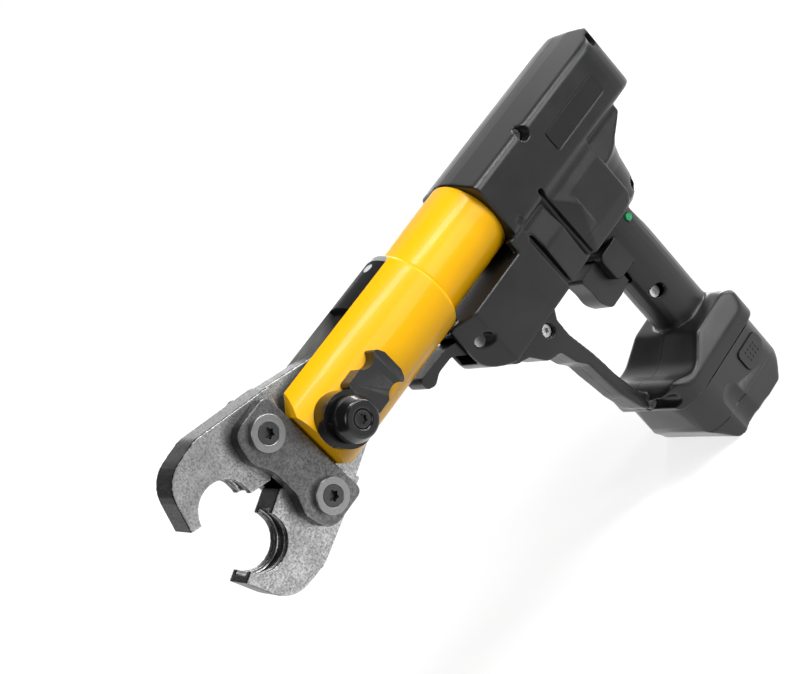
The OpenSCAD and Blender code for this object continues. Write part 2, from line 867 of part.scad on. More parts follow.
// Bronze nut that guides the ram at the mouth of the bore
module gland_nut() {
    color("#a9793a") difference() {
        rod_x(spigot_x, gland_back_x, bore_r - running_fit);
        rod_x(spigot_x - over, gland_back_x + over, rod_r + running_fit);
    }
}

// Spring ring that keeps the head on the spigot
module swivel_ring() {
    color("#8d9297") difference() {
        rod_x(ring_x - ring_w / 2, ring_x + ring_w / 2, spigot_r + ring_depth);
        rod_x(ring_x - ring_w, ring_x + ring_w, spigot_r - ring_depth + running_fit);
    }
}

// Pump block with the chamber of the eccentric
module pump_block() {
    color("#a7abae") difference() {
        block([barrel_back_x, -pump_half_w, axis_h - pump_low],
            [pump_back_x, pump_half_w, axis_h + pump_high]);
        rod_x(pump_back_x - pump_bore_len, pump_back_x + over, pump_bore_r);
    }
}

// Rubber oil tank hung under the pump block
module oil_reservoir() {
    z = axis_h - tank_drop;
    color("#33302c") {
        translate([barrel_back_x, 0, z]) rotate([0, 90, 0]) cylinder(h = tank_len, r = tank_r);
        translate([tank_neck_x, 0, z]) cylinder(h = tank_drop - pump_low, r = tank_neck_r);
    }
}

// Gear case between the pump and the motor
module gearbox() {
    color("#6d7277") difference() {
        rod_x(pump_back_x, gear_back_x, gear_r);
        rod_x(pump_back_x + gear_wall, gear_back_x + over, gear_bore_r);
        rod_x(pump_back_x - over, gear_back_x, drive_r + running_fit);
    }
}

// Steel can of the motor
module motor_can() {
    color("#7b7f84") difference() {
        rod_x(gear_back_x, motor_back_x, motor_r);
        rod_x(gear_back_x + motor_wall, motor_back_x - motor_wall, motor_bore_r);
        rod_x(gear_back_x - over, motor_back_x + over, shaft_r + running_fit);
    }
}

// Rotor, shaft and pinion
module motor_rotor() {
    color("#b2743a") {
        rod_x(gear_back_x + motor_wall + rotor_gap, motor_back_x - motor_wall - rotor_gap, rotor_r);
        rod_x(gear_back_x - pinion_len, motor_back_x, shaft_r);
        rod_x(gear_back_x - pinion_len - carrier_gap, gear_back_x - carrier_gap, pinion_r);
    }
}

// Planet carrier, drive shaft and the eccentric that works the pump
module eccentric_shaft() {
    carrier_x = pump_back_x + gear_wall + carrier_gap;
    lobe_x = pump_back_x - pump_bore_len + carrier_gap;
    color("#8d9297") {
        rod_x(lobe_x, carrier_x + carrier_t, drive_r);
        rod_x(carrier_x, carrier_x + carrier_t, carrier_r);
        translate([0, eccentric_off, 0]) rod_x(lobe_x, lobe_x + eccentric_len, eccentric_r);
    }
}

// Inside the grip

// Trigger switch
module switch_body() {
    color("#2b3440") block([switch_x, -switch_w / 2, switch_z],
        [switch_x + switch_len, switch_w / 2, switch_z + switch_h]);
}

// Circuit board with its two largest chips
module control_board() {
    half = grip_w / 2 - wall - board_inset;
    back = grip_x + grip_depth / 2 - wall - board_back;
    color("#24573a") {
        block([back - board_t, -half, board_z], [back, half, board_z + board_h]);
        for (i = [0, 1])
            translate([back - board_t - chip_t, -half / 2, board_z + (i + 1 / 4) * board_h / 2])
                cube([chip_t, half, board_h / 4]);
    }
}

// Terminal block with two blades that reach into the battery
module terminal_block() {
    low = grip_cavity_z;
    color("#2a2c2f") {
        block([terminal_x, -terminal_w / 2, low],
            [terminal_x + terminal_len, terminal_w / 2, low + terminal_h]);
        for (side = [-1, 1])
            translate([terminal_x + (terminal_len - blade_len) / 2, side * blade_y - blade_t / 2,
                low - blade_drop])
                cube([blade_len, blade_t, blade_drop + over]);
    }
}

// Green light in the left shell
module status_light() {
    surface = grip_w / 2;
    color("#2fbf5b") rod_y(light_x, light_z, -surface - light_proud, -surface + light_len, light_r);
}

// Controls

// Trigger with a hollowed finger face
module trigger() {
    color("#24262a") side_plate(-trigger_w / 2, trigger_w / 2, rounded(in_box(trigger_shares,
        [trigger_x, trigger_z], [trigger_len, trigger_h])));
}

// Reset lever under the head
module reset_lever() {
    color("#1f2023") difference() {
        side_plate(-lever_w / 2, lever_w / 2, rounded(in_box(lever_shares, [lever_x, lever_z],
            [lever_len, lever_h])));
        rod_y(pivot_x, pivot_z, -lever_w, lever_w, pivot_r + running_fit);
    }
}

// Pivot screw of the reset lever
module reset_pivot() {
    color("#50545a") {
        rod_y(pivot_x, pivot_z, -pivot_half - pivot_head_t, -pivot_half, pivot_head_r);
        rod_y(pivot_x, pivot_z, -pivot_half - running_fit, pivot_half - seat_gap, pivot_r);
    }
}

// Swivel head

// Head with its socket, fork slot and pin bore
module fork_head() {
    socket_r = spigot_r + running_fit;
    groove_r = spigot_r + ring_depth + seat_gap;
    socket_x = collar_x - socket_depth;
    slot_half = slot_w / 2;
    key_back_x = lock_x + lock_key_set + lock_key_len + lock_travel + slide_gap;
    color("#f2b90f") difference() {
        turned_x(rounded([[fork_x, 0, 0], [fork_x, head_r, 0], [collar_x, head_r, collar_round],
            [collar_x, 0, 0]]));
        rod_x(socket_x, collar_x + over, socket_r);
        rod_x(ring_x - ring_w / 2 - seat_gap, ring_x + ring_w / 2 + seat_gap, groove_r);
        rod_x(slot_back_x - over, socket_x + over, rod_r + running_fit);
        block([fork_x - over, -slot_half, axis_h - head_d], [slot_back_x, slot_half, axis_h + head_d]);
        for (up = [-1, 1])
            translate([0, 0, axis_h]) mirror([0, 0, up > 0 ? 0 : 1]) {
                block([slot_back_x - over, -slot_half, cover_floor], [cover_back_x, slot_half, head_d]);
                fork_corner();
                translate([cover_screw_x, 0, cover_screw_z - cover_screw_len - seat_gap])
                    cylinder(h = head_d, r = cover_screw_r + running_fit);
            }
        rod_y(pin_x, axis_h, -head_d, head_d, pin_r + running_fit);
        block([lock_x + lock_key_set - slide_gap, -head_d, axis_h - lock_key_w / 2 - slide_gap],
            [key_back_x, slide_gap - head_r + lock_key_h + slide_gap, axis_h + lock_key_w / 2 + slide_gap]);
    }
}

// Wedge that is cut off a corner of the fork
module fork_corner() {
    rotate([90, 0, 0]) linear_extrude(height = 2 * head_d, center = true)
        polygon([[fork_x - over, head_r - fork_chamfer - over], [fork_x - over, head_r + fork_chamfer],
            [fork_x + 2 * fork_chamfer, head_r + fork_chamfer]]);
}

// Strip that closes the slot behind the tongs
module slot_cover(up) {
    color("#26282b") translate([0, 0, axis_h]) mirror([0, 0, up > 0 ? 0 : 1]) difference() {
        intersection() {
            block([cover_front_x, seat_gap - slot_w / 2, cover_floor],
                [cover_back_x - seat_gap, slot_w / 2 - seat_gap, head_d]);
            translate([0, 0, -axis_h]) rod_x(cover_front_x - over, cover_back_x + over, head_r - seat_gap);
        }
        translate([cover_screw_x, 0, 0]) {
            cylinder(h = head_d, r = cover_screw_r + running_fit);
            translate([0, 0, cover_screw_z - seat_gap])
                cylinder(h = head_d, r = cover_screw_head_r + seat_gap);
        }
    }
}

// Upper strip
module slot_cover_upper() {
    slot_cover(1);
}

// Lower strip
module slot_cover_lower() {
    slot_cover(-1);
}

// Screws of the two strips
module cover_screws() {
    color("#50545a") for (up = [0, 1])
        translate([cover_screw_x, 0, axis_h]) mirror([0, 0, up]) {
            translate([0, 0, cover_screw_z - seat_gap])
                cylinder(h = cover_screw_head_t, r = cover_screw_head_r);
            translate([0, 0, cover_screw_z - cover_screw_len])
                cylinder(h = cover_screw_len, r = cover_screw_r);
        }
}

// Tongs

// Cheek plate with its two bolt holes and the lug that the retaining pin holds
module cheek_plate(side) {
    fore = bolt_x - plate_fore;
    aft = bolt_x + plate_aft;
    corners = [[plate_half_h, aft, plate_corner_in], [plate_half_h, fore + plate_corner_in, washer_r],
        [bolt_z - plate_corner_in, fore, washer_r],
        [bolt_z / 2 - plate_corner_in, fore + plate_waist, washer_r]];
    half = [for (c = corners) [c[1], c[0], c[2]]];
    outline = [for (p = rounded(both_ways(half))) p + [0, axis_h]];
    stem = [[bolt_x + lug_fore, axis_h - lug_half_h], [pin_x, axis_h - lug_half_h],
        [pin_x, axis_h + lug_half_h], [bolt_x + lug_fore, axis_h + lug_half_h]];
    color("#8f9294") mirror([0, side > 0 ? 0 : 1, 0]) difference() {
        union() {
            side_plate(plate_in, plate_out, outline);
            side_plate(lug_in, lug_out, stem);
            side_plate(lug_in, lug_root, [[bolt_x + lug_fore, axis_h - lug_half_h],
                [aft, axis_h - lug_half_h],
                [aft, axis_h + lug_half_h], [bolt_x + lug_fore, axis_h + lug_half_h]]);
            rod_y(pin_x, axis_h, lug_in, lug_out, lug_r);
        }
        rod_y(pin_x, axis_h, 0, plate_out + over, pin_r + running_fit);
        for (up = [-1, 1])
            rod_y(bolt_x, axis_h + up * bolt_z, 0, plate_out + over, bolt_r + running_fit);
    }
}

// Plate on the side of the knob
module cheek_plate_left() {
    cheek_plate(-1);
}

// Plate on the far side
module cheek_plate_right() {
    cheek_plate(1);
}

// Two bolts that the jaws turn on
module jaw_bolts() {
    end = plate_out + washer_t - seat_gap;
    color("#6f7377") for (up = [-1, 1])
        difference() {
            union() {
                rod_y(bolt_x, axis_h + up * bolt_z, -plate_out, plate_out, bolt_r);
                rod_y(bolt_x, axis_h + up * bolt_z, -end, end, bolt_head_r);
            }
            star_socket(bolt_x, axis_h + up * bolt_z, -end, bolt_socket_depth, bolt_socket_r);
        }
}

// Washers on both ends of the bolts
module jaw_washers() {
    color("#b9bcbe") for (side = [0, 1], up = [-1, 1])
        mirror([0, side, 0]) difference() {
            rod_y(bolt_x, axis_h + up * bolt_z, plate_out, plate_out + washer_t, washer_r);
            rod_y(bolt_x, axis_h + up * bolt_z, 0, plate_out + 2 * washer_t, bolt_head_r + running_fit);
        }
}

// A place seen from the shut jaw, when the jaw stands open by an angle
function from_jaw(v, a) = [v[0] * cos(a) - v[1] * sin(a), v[0] * sin(a) + v[1] * cos(a)];

// Centre of the upper roller seen from the upper jaw, measured from its bolt
function roller_path(s) =
    from_jaw([roller_x - s - bolt_x, roller_z - bolt_z], open_angle * (1 - s / ram_stroke));

// Point of the tail that clears the roller at one place of its stroke
function cam_point(s) =
    let (ahead = unit(roller_path(s + cam_gap) - roller_path(s - cam_gap)))
    roller_path(s) + (roller_r + cam_gap) * [ahead[1], -ahead[0]];

// Shut upper jaw about its bolt, in X and Z
function jaw_corners() =
    let (low = jaw_split - bolt_z, front = -jaw_front_len, back_h = jaw_back_h)
    let (cam = [for (i = [cam_steps : -1 : 0]) cam_point(ram_stroke * i / cam_steps)])
    let (tail_end = [for (p = cam) if (p[0] < tail_len) [p[0], p[1], 0]])
    concat([[front, low, 0], [front, back_h * tip_share, mouth_r * brow_share],
        [-mouth_reach * nape_shares[0], back_h * nape_shares[1], mouth_r],
        [hub_r, back_h, mouth_r], [tail_len, back_h, jaw_foot / 2]],
        [for (i = [len(tail_end) - 1 : -1 : 0]) tail_end[i]],
        [[tail_root + hub_r, -tail_under, jaw_foot], [hub_r, -tail_under, jaw_foot],
        [jaw_foot / 2, -hub_r, jaw_foot], [-jaw_foot, low, 0]]);

// Jaw with press contour, bead groove, bolt bore and narrowed tail
module jaw() {
    translate([bolt_x, 0, axis_h + bolt_z]) rotate([0, open_angle, 0]) difference() {
        side_plate(-jaw_w / 2, jaw_w / 2, rounded(jaw_corners()));
        rod_y(-mouth_reach, -bolt_z, -jaw_w, jaw_w, mouth_r);
        rod_y(-mouth_reach, -bolt_z, -bead_w / 2, bead_w / 2, mouth_r + bead_depth);
        rod_y(0, 0, -jaw_w, jaw_w, bolt_r + running_fit);
        for (side = [0, 1])
            mirror([0, side, 0])
                block([tail_root, tail_w / 2, -bolt_spread], [2 * tail_len, jaw_w, bolt_spread]);
        rotate([0, -open_angle, 0])
            rod_y(pin_x - bolt_x, -bolt_z, -jaw_w, jaw_w, pin_r + pin_room);
    }
}

// Upper jaw
module upper_jaw() {
    color("#86898b") jaw();
}

// Lower jaw, the mirror image of the upper one
module lower_jaw() {
    color("#86898b") translate([0, 0, 2 * axis_h]) mirror([0, 0, 1]) jaw();
}

// Ram

// Piston and rod in one
module piston_rod() {
    color("#c9ccce") turned_x([[rod_front_x, 0], [rod_front_x, rod_r], [piston_front_x, rod_r],
        [piston_front_x, bore_r - running_fit], [piston_back_x, bore_r - running_fit], [piston_back_x, 0]]);
}

// Coil spring that draws the ram back, one tube swept along its helix
module return_spring() {
    r = spring_wire / 2;
    x0 = gland_back_x + r;
    run = piston_front_x - r - x0;
    steps = spring_curls * spring_rings;
    sides = spring_sides;
    rings = [for (i = [0 : steps]) for (k = [0 : sides - 1])
        let (turn = 360 * i / spring_rings, around = 360 * k / sides)
        let (out = spring_r + r * cos(around))
        [x0 + run * i / steps + r * sin(around), out * cos(turn), axis_h + out * sin(turn)]];
    walls = [for (i = [0 : steps - 1]) for (k = [0 : sides - 1])
        let (a = i * sides + k, b = i * sides + (k + 1) % sides)
        each [[a, b, a + sides], [b, b + sides, a + sides]]];
    ends = [[for (k = [sides - 1 : -1 : 0]) k], [for (k = [0 : sides - 1]) steps * sides + k]];
    color("#7b7f84") polyhedron(points = rings, faces = concat(walls, ends));
}

// Yoke that carries the rollers on the end of the rod
module roller_yoke() {
    outline = soft_box([roller_x - yoke_fore, axis_h - yoke_half_h],
        [yoke_back_x, axis_h + yoke_half_h], yoke_round);
    color("#787c80") difference() {
        side_plate(-yoke_w / 2, yoke_w / 2, outline);
        block([roller_x - head_r, -yoke_in / 2, axis_h - head_r], [yoke_bed_x, yoke_in / 2, axis_h + head_r]);
        for (up = [-1, 1])
            rod_y(roller_x, axis_h + up * roller_z, -yoke_w, yoke_w, axle_r + running_fit);
        rod_x(rod_front_x, yoke_back_x + over, rod_r + running_fit);
    }
}

// Axles of the two rollers
module roller_axles() {
    color("#b9bcbe") for (up = [-1, 1])
        rod_y(roller_x, axis_h + up * roller_z, seat_gap - yoke_w / 2, yoke_w / 2 - seat_gap, axle_r);
}

// Roller on one side of the barrel axis
module press_roller(up) {
    color("#9a9da0") difference() {
        rod_y(roller_x, axis_h + up * roller_z, -roller_w / 2, roller_w / 2, roller_r);
        rod_y(roller_x, axis_h + up * roller_z, -roller_w, roller_w, axle_r + running_fit);
    }
}

// Roller under the upper jaw's tail
module upper_roller() {
    press_roller(1);
}

// Roller over the lower jaw's tail
module lower_roller() {
    press_roller(-1);
}

// Retaining pin and lock

// Pin with the flange that sits on the head
module retaining_pin() {
    color("#232427") difference() {
        union() {
            rod_y(pin_x, axis_h, -head_r, pin_far, pin_r);
            rod_y(pin_x, axis_h, -flange_top, flange_skirt - head_r, flange_r);
            rod_y(pin_x, axis_h, -bell_y, -flange_top, neck_r);
        }
        difference() {
            rod_x(pin_x - 2 * flange_r, pin_x + 2 * flange_r, head_r + slide_gap);
            rod_y(pin_x, axis_h, -head_d, head_d, pin_r);
        }
        block([pin_x + flange_flat, -flange_top - neck_h / 2, axis_h - head_d],
            [pin_x + head_d, head_d, axis_h + head_d]);
        rod_y(pin_x, axis_h, -bell_y - over, knob_screw_len - knob_end, knob_screw_r + running_fit);
    }
}

// Bell-shaped knob on the pin
module pin_knob() {
    side = bell_y + bell_side_h;
    color("#2a2b2e") turned_y(pin_x, axis_h, rounded([[-bell_y, knob_screw_r + running_fit, 0],
        [-bell_y, bell_r, 0], [-side, bell_r, bell_h - bell_side_h], [-knob_end, bell_face_r, 0],
        [-knob_end, knob_recess_r, 0], [knob_recess_h - knob_end, knob_recess_r, 0],
        [knob_recess_h - knob_end, knob_screw_r + running_fit, 0]]));
}

// Screw that holds the knob
module knob_screw() {
    seat = knob_end - knob_recess_h;
    color("#1e1f21") {
        difference() {
            rod_y(pin_x, axis_h, -seat - knob_screw_head_t, -seat, knob_screw_head_r);
            star_socket(pin_x, axis_h, -seat - knob_screw_head_t, knob_screw_head_t * socket_depth_share,
                knob_socket_r);
        }
        rod_y(pin_x, axis_h, -seat - running_fit, knob_screw_len - knob_end - seat_gap, knob_screw_r);
    }
}

// Lock slide with a finger hollow in each side, saddled on the head
module lock_slide() {
    half = lock_w / 2;
    back = lock_x + lock_len;
    corners = [[lock_x, half, lock_round], [back - lock_round, half, lock_round],
        [back, half - 2 * lock_round, lock_round]];
    outline = [for (p = rounded(both_ways(corners))) p + [0, axis_h]];
    color("#2c2d30") {
        difference() {
            side_plate(-lock_top, -head_r / 2, outline);
            rod_x(lock_x - over, back + over, head_r + slide_gap);
            for (up = [-1, 1])
                rod_y(lock_x + lock_len * thumb_x_share, axis_h + up * half * (1 + thumb_z_share / 2),
                    -lock_top - over, 0, thumb_r);
        }
        block([lock_x + lock_key_set, -head_r - lock_h / 2, axis_h - lock_key_w / 2],
            [lock_x + lock_key_set + lock_key_len, lock_key_h - head_r, axis_h + lock_key_w / 2]);
    }
}

// Battery

// Plan outline of the battery, drawn in by an inset
function battery_plan(inset) =
    let (half = battery_half_w - inset)
    rounded([[battery_x + inset, -half, battery_front_r - inset],
        [battery_back - inset, -half, battery_back_r - inset],
        [battery_back - inset, half, battery_back_r - inset],
        [battery_x + inset, half, battery_front_r - inset]]);

// Outer form of the battery, with a finger scallop in each side
module battery_form() {
    difference() {
        intersection() {
            side_plate(-battery_w, battery_w, rounded(in_box(battery_shares, [battery_x, 0],
                [battery_len, battery_h])));
            plan(-over, battery_h + over, battery_plan(0));
        }
        for (side = [-1, 1])
            translate([scallop_x, side * (battery_half_w + scallop_r - scallop_bite), -over]) {
                cylinder(h = scallop_h + over, r = scallop_r);
                translate([0, 0, scallop_h + over]) sphere(r = scallop_r);
            }
    }
}

// Room for the cells
module battery_room() {
    long = cell_x + cell_r + cell_room;
    half = cell_len / 2 + strap_t + cell_room;
    plan(shell_wall, battery_h - shell_wall, soft_box([cell_mid_x - long, -half],
        [cell_mid_x + long, half], shell_wall));
}

// Outline of a latch button, widened by a gap
function latch_outline(gap) =
    let (lo = [latch_x - gap, latch_z - gap], size = [latch_len + 2 * gap, latch_h + 2 * gap])
    rounded([for (c = latch_shares) [lo[0] + c[0] * size[0], lo[1] + c[1] * size[1], latch_round + gap]]);

// Pocket of a latch button
module latch_pocket(side) {
    mirror([0, side > 0 ? 0 : 1, 0])
        side_plate(battery_half_w - latch_t - latch_travel - slide_gap, battery_half_w + over,
            latch_outline(slide_gap));
}

// Upper case with the contact tower
module battery_case() {
    color("#202124") difference() {
        union() {
            intersection() {
                battery_form();
                block([-battery_len, -battery_w, tray_h + tray_seam], [battery_len, battery_w, axis_h]);
            }
            plan(battery_h - shell_wall, battery_h + tower_h, soft_box([tower_x, -tower_w / 2],
                [tower_x + tower_len, tower_w / 2], tower_round));
        }
        battery_room();
        for (side = [-1, 1]) {
            latch_pocket(side);
            translate([tower_x, side * blade_y - blade_slot_w / 2, battery_h + tower_h - blade_drop])
                cube([tower_len, blade_slot_w, blade_drop + over]);
        }
        pack_screw_holes();
    }
}

// Lower tray with the flat base
module battery_tray() {
    color("#202124") difference() {
        intersection() {
            battery_form();
            block([-battery_len, -battery_w, -over], [battery_len, battery_w, tray_h]);
        }
        battery_room();
        pack_screw_holes();
    }
}

// Places of the screws through the tray
module at_pack_screws() {
    for (x = [-pack_screw_x, pack_screw_x], side = [-1, 1])
        translate([x, side * pack_screw_y, 0]) children();
}

// Holes for those screws
module pack_screw_holes() {
    at_pack_screws() {
        translate([0, 0, -over])
            cylinder(h = pack_screw_set + pack_screw_len + over, r = pack_screw_r + running_fit);
        translate([0, 0, -over]) cylinder(h = pack_screw_set + over, r = pack_screw_head_r + seat_gap);
    }
}

// Screws that hold the tray to the case
module battery_screws() {
    color("#50545a") at_pack_screws() {
        translate([0, 0, pack_screw_set - pack_screw_set / 2])
            cylinder(h = pack_screw_set / 2, r = pack_screw_head_r);
        translate([0, 0, pack_screw_set - running_fit]) cylinder(h = pack_screw_len, r = pack_screw_r);
    }
}

// Four cells lying across the battery
module battery_cells() {
    color("#3f6ea8") for (side = [-1, 1], z = [cell_low_z, cell_high_z])
        rod_y(cell_mid_x + side * cell_x, z, -cell_len / 2, cell_len / 2, cell_r);
}

// Straps that join the cells at both ends
module cell_straps() {
    color("#c4c7c9") for (y = [cell_len / 2, -cell_len / 2 - strap_t], side = [-1, 1])
        translate([cell_mid_x + side * cell_x - strap_w / 2, y, cell_low_z])
            cube([strap_w, strap_t, cell_high_z - cell_low_z]);
}

// Latch button with its dotted thumb face
module latch_button(side) {
    face = battery_half_w + latch_proud;
    middle = [latch_x + latch_len / 2, latch_z + latch_h / 2];
    color("#2b2d30") mirror([0, side > 0 ? 0 : 1, 0]) {
        side_plate(battery_half_w - latch_t, face, latch_outline(0));
        for (i = [0 : dot_columns - 1], k = [0 : dot_rows - 1])
            rod_y(middle[0] + (i - (dot_columns - 1) / 2) * dot_pitch,
                middle[1] + (k - (dot_rows - 1) / 2) * dot_pitch, face - dot_r, face + dot_proud, dot_r);
    }
}

// Button on the side of the knob
module latch_button_left() {
    latch_button(-1);
}

// Button on the far side
module latch_button_right() {
    latch_button(1);
}

housing_left();
housing_right();
housing_screws();
hydraulic_barrel();
gland_nut();
swivel_ring();
pump_block();
oil_reservoir();
gearbox();
motor_can();
motor_rotor();
eccentric_shaft();
switch_body();
control_board();
terminal_block();
status_light();
trigger();
reset_lever();
reset_pivot();
fork_head();
slot_cover_upper();
slot_cover_lower();
cover_screws();
cheek_plate_left();
cheek_plate_right();
jaw_bolts();
jaw_washers();
piston_rod();
return_spring();
roller_yoke();
roller_axles();
upper_roller();
lower_roller();
upper_jaw();
lower_jaw();
retaining_pin();
pin_knob();
knob_screw();
lock_slide();
battery_case();
battery_tray();
battery_cells();
cell_straps();
battery_screws();
latch_button_left();
latch_button_right();
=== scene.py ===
"""Cordless press tool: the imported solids, dressed with eased edges, fittings and finishes."""

import bmesh
import bpy
import math
from mathutils import Matrix, Vector, kdtree


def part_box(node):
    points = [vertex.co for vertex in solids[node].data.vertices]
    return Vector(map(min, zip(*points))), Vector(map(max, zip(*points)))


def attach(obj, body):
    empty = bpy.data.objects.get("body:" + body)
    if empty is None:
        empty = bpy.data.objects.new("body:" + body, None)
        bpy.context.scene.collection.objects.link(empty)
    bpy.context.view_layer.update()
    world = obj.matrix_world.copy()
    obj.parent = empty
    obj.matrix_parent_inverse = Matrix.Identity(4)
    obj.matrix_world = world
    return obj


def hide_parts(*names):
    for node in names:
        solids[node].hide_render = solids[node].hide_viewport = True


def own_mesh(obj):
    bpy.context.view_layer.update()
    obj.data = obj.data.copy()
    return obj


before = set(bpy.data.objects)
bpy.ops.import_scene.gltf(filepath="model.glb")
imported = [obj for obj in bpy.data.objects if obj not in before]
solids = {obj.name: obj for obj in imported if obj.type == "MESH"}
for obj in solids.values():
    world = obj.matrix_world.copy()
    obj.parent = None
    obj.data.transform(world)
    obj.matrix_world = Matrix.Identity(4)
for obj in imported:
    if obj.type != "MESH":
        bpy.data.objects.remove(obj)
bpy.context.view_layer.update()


# Shader helpers

# Places of a Mix node's mask, its two sides and its result, by kind
MIX_MASK = 0
MIX_SIDES = {"FLOAT": (2, 3), "RGBA": (6, 7)}
MIX_RESULT = {"FLOAT": 0, "RGBA": 2}


def add(tree, kind, **settings):
    """New node with its properties set."""
    made = tree.nodes.new(kind)
    for key, value in settings.items():
        setattr(made, key, value)
    return made


def feed(tree, socket, value):
    """Give a socket a constant, or link another node's output to it."""
    if isinstance(value, bpy.types.NodeSocket):
        tree.links.new(value, socket)
    else:
        socket.default_value = (*value, 1.0) if socket.type == "RGBA" else value


def object_place(tree):
    """Object coordinates of the surface."""
    return add(tree, "ShaderNodeTexCoord").outputs["Object"]


def along(tree, place, direction):
    """How far a place lies along a direction."""
    node = add(tree, "ShaderNodeVectorMath", operation="DOT_PRODUCT")
    tree.links.new(place, node.inputs[0])
    node.inputs[1].default_value = direction
    return node.outputs["Value"]


def noise(tree, place, scale, detail=3.0, rough=0.55):
    """Noise at a place; its scale is a number or a group's input."""
    node = add(tree, "ShaderNodeTexNoise")
    for label, value in (("Vector", place), ("Scale", scale),
                         ("Detail", detail), ("Roughness", rough)):
        feed(tree, node.inputs[label], value)
    return node.outputs["Fac"]


def remap(tree, value, start=0.0, end=1.0, low=0.0, high=1.0, curve="LINEAR"):
    """A value's range start..end, mapped to low..high and held there."""
    node = add(tree, "ShaderNodeMapRange", interpolation_type=curve)
    for label, number in (("Value", value), ("From Min", start), ("From Max", end),
                          ("To Min", low), ("To Max", high)):
        feed(tree, node.inputs[label], number)
    return node.outputs["Result"]


def spread(tree, value, low, high):
    """A 0..1 value mapped to low..high."""
    return remap(tree, value, low=low, high=high)


def combine(tree, operation, first, second, clamp=False):
    """Two values joined by a sum, a product or the larger of them."""
    node = add(tree, "ShaderNodeMath", operation=operation, use_clamp=clamp)
    feed(tree, node.inputs[0], first)
    feed(tree, node.inputs[1], second)
    return node.outputs[0]


def mix(tree, mask, first, second, kind="RGBA"):
    """Two colours or two values blended by a mask; each is a constant or a socket."""
    node = add(tree, "ShaderNodeMix", data_type=kind)
    for row, side in zip(MIX_SIDES[kind], (first, second)):
        feed(tree, node.inputs[row], side)
    tree.links.new(mask, node.inputs[MIX_MASK])
    return node.outputs[MIX_RESULT[kind]]


def bump(tree, shader, height, strength, distance):
    """Bump from a height into the shader's normal."""
    node = add(tree, "ShaderNodeBump")
    node.inputs["Strength"].default_value = strength
    node.inputs["Distance"].default_value = distance
    tree.links.new(height, node.inputs["Height"])
    tree.links.new(node.outputs["Normal"], shader.inputs["Normal"])


# Shared effects

CLOUD = (0.3, 0.7)          # noise range that slow patches and lines are read from
DENT = (0.36, 0.64)         # noise range of the forging's dents
SPECK = (0.35, 0.65)        # noise range of its speckle
SPECK_HEIGHT = 0.35         # height of the speckle against the dents
WEAR_AND_HIGHLIGHT_TURN = (0.56, 0.64)    # how sharply the surface turns where wear and painted edge highlights start and are full
WEAR_AND_HIGHLIGHT_BREAK = (0.25, 0.55)   # noise range that breaks the wear and painted edge highlights up


def new_group(name, inputs, outputs):
    """Empty shader group with inputs, a default for each name, and outputs, which are values."""
    group = bpy.data.node_groups.new(name, "ShaderNodeTree")
    for label, value in inputs.items():
        kind = "NodeSocketVector" if isinstance(value, tuple) else "NodeSocketFloat"
        socket = group.interface.new_socket(label, in_out="INPUT", socket_type=kind)
        socket.default_value = value
    for label in outputs:
        group.interface.new_socket(label, in_out="OUTPUT", socket_type="NodeSocketFloat")
    return group, add(group, "NodeGroupInput").outputs, add(group, "NodeGroupOutput").inputs


def make_grain_group():
    """Fine moulded grain: a height for bump and a slow tone change."""
    group, given, result = new_group(
        "moulded_grain", {"Grain Scale": 2600.0, "Cloud Scale": 40.0}, ("Height", "Tone"))
    place = object_place(group)
    cloud = noise(group, place, given["Cloud Scale"], detail=3.0, rough=0.5)
    fine = noise(group, place, given["Grain Scale"], detail=2.0, rough=0.6)
    group.links.new(fine, result["Height"])
    group.links.new(remap(group, cloud, *CLOUD), result["Tone"])
    return group


def make_wear_and_highlight_group():
    """Edges for wear and for painted highlights, from how sharply the surface turns, broken up
    by noise.
    """
    group, given, result = new_group(
        "edge_wear_and_highlight", {"Reach": 0.5, "Break Scale": 260.0}, ("Mask",))
    turn = add(group, "ShaderNodeNewGeometry").outputs["Pointiness"]
    patch = noise(group, object_place(group), given["Break Scale"], detail=4.0, rough=0.6)
    broken = combine(group, "MULTIPLY", remap(group, turn, *WEAR_AND_HIGHLIGHT_TURN),
                     remap(group, patch, *WEAR_AND_HIGHLIGHT_BREAK))
    group.links.new(combine(group, "MULTIPLY", broken, given["Reach"], clamp=True),
                    result["Mask"])
    return group


def make_mottle_group():
    """Slow patches, leathery dents and fine speckle of a phosphated steel forging."""
    group, given, result = new_group(
        "phosphate_mottle",
        {"Patch Scale": 70.0, "Dent Scale": 820.0, "Speck Scale": 2600.0},
        ("Patch", "Dent", "Speck", "Height"))
    place = object_place(group)
    patch = noise(group, place, given["Patch Scale"], detail=4.0, rough=0.6)
    dent = noise(group, place, given["Dent Scale"], detail=6.0, rough=0.66)
    speck = noise(group, place, given["Speck Scale"], detail=3.0, rough=0.7)
    for label, value, span in (("Patch", patch, CLOUD), ("Dent", dent, DENT),
                               ("Speck", speck, SPECK)):
        group.links.new(remap(group, value, *span), result[label])
    fine = combine(group, "MULTIPLY", speck, SPECK_HEIGHT)
    group.links.new(combine(group, "ADD", dent, fine), result["Height"])
    return group


def make_brushed_group():
    """Fine lines along one axis, as left by a grinding belt or a lathe."""
    group, given, result = new_group(
        "brush_lines", {"Stretch": (1.0, 1.0, 1.0), "Line Scale": 900.0}, ("Line",))
    pulled = add(group, "ShaderNodeVectorMath", operation="MULTIPLY")
    group.links.new(object_place(group), pulled.inputs[0])
    group.links.new(given["Stretch"], pulled.inputs[1])
    lines = noise(group, pulled.outputs[0], given["Line Scale"], detail=4.0, rough=0.6)
    group.links.new(remap(group, lines, *CLOUD), result["Line"])
    return group


GRAIN = make_grain_group()
WEAR_AND_HIGHLIGHT = make_wear_and_highlight_group()
MOTTLE = make_mottle_group()
BRUSHED = make_brushed_group()


def use(tree, group, **values):
    """Outputs of a shared group, placed in a material with its own values."""
    node = add(tree, "ShaderNodeGroup", node_tree=group)
    for key, value in values.items():
        node.inputs[key.replace("_", " ").title()].default_value = value
    return node.outputs


# Finishes

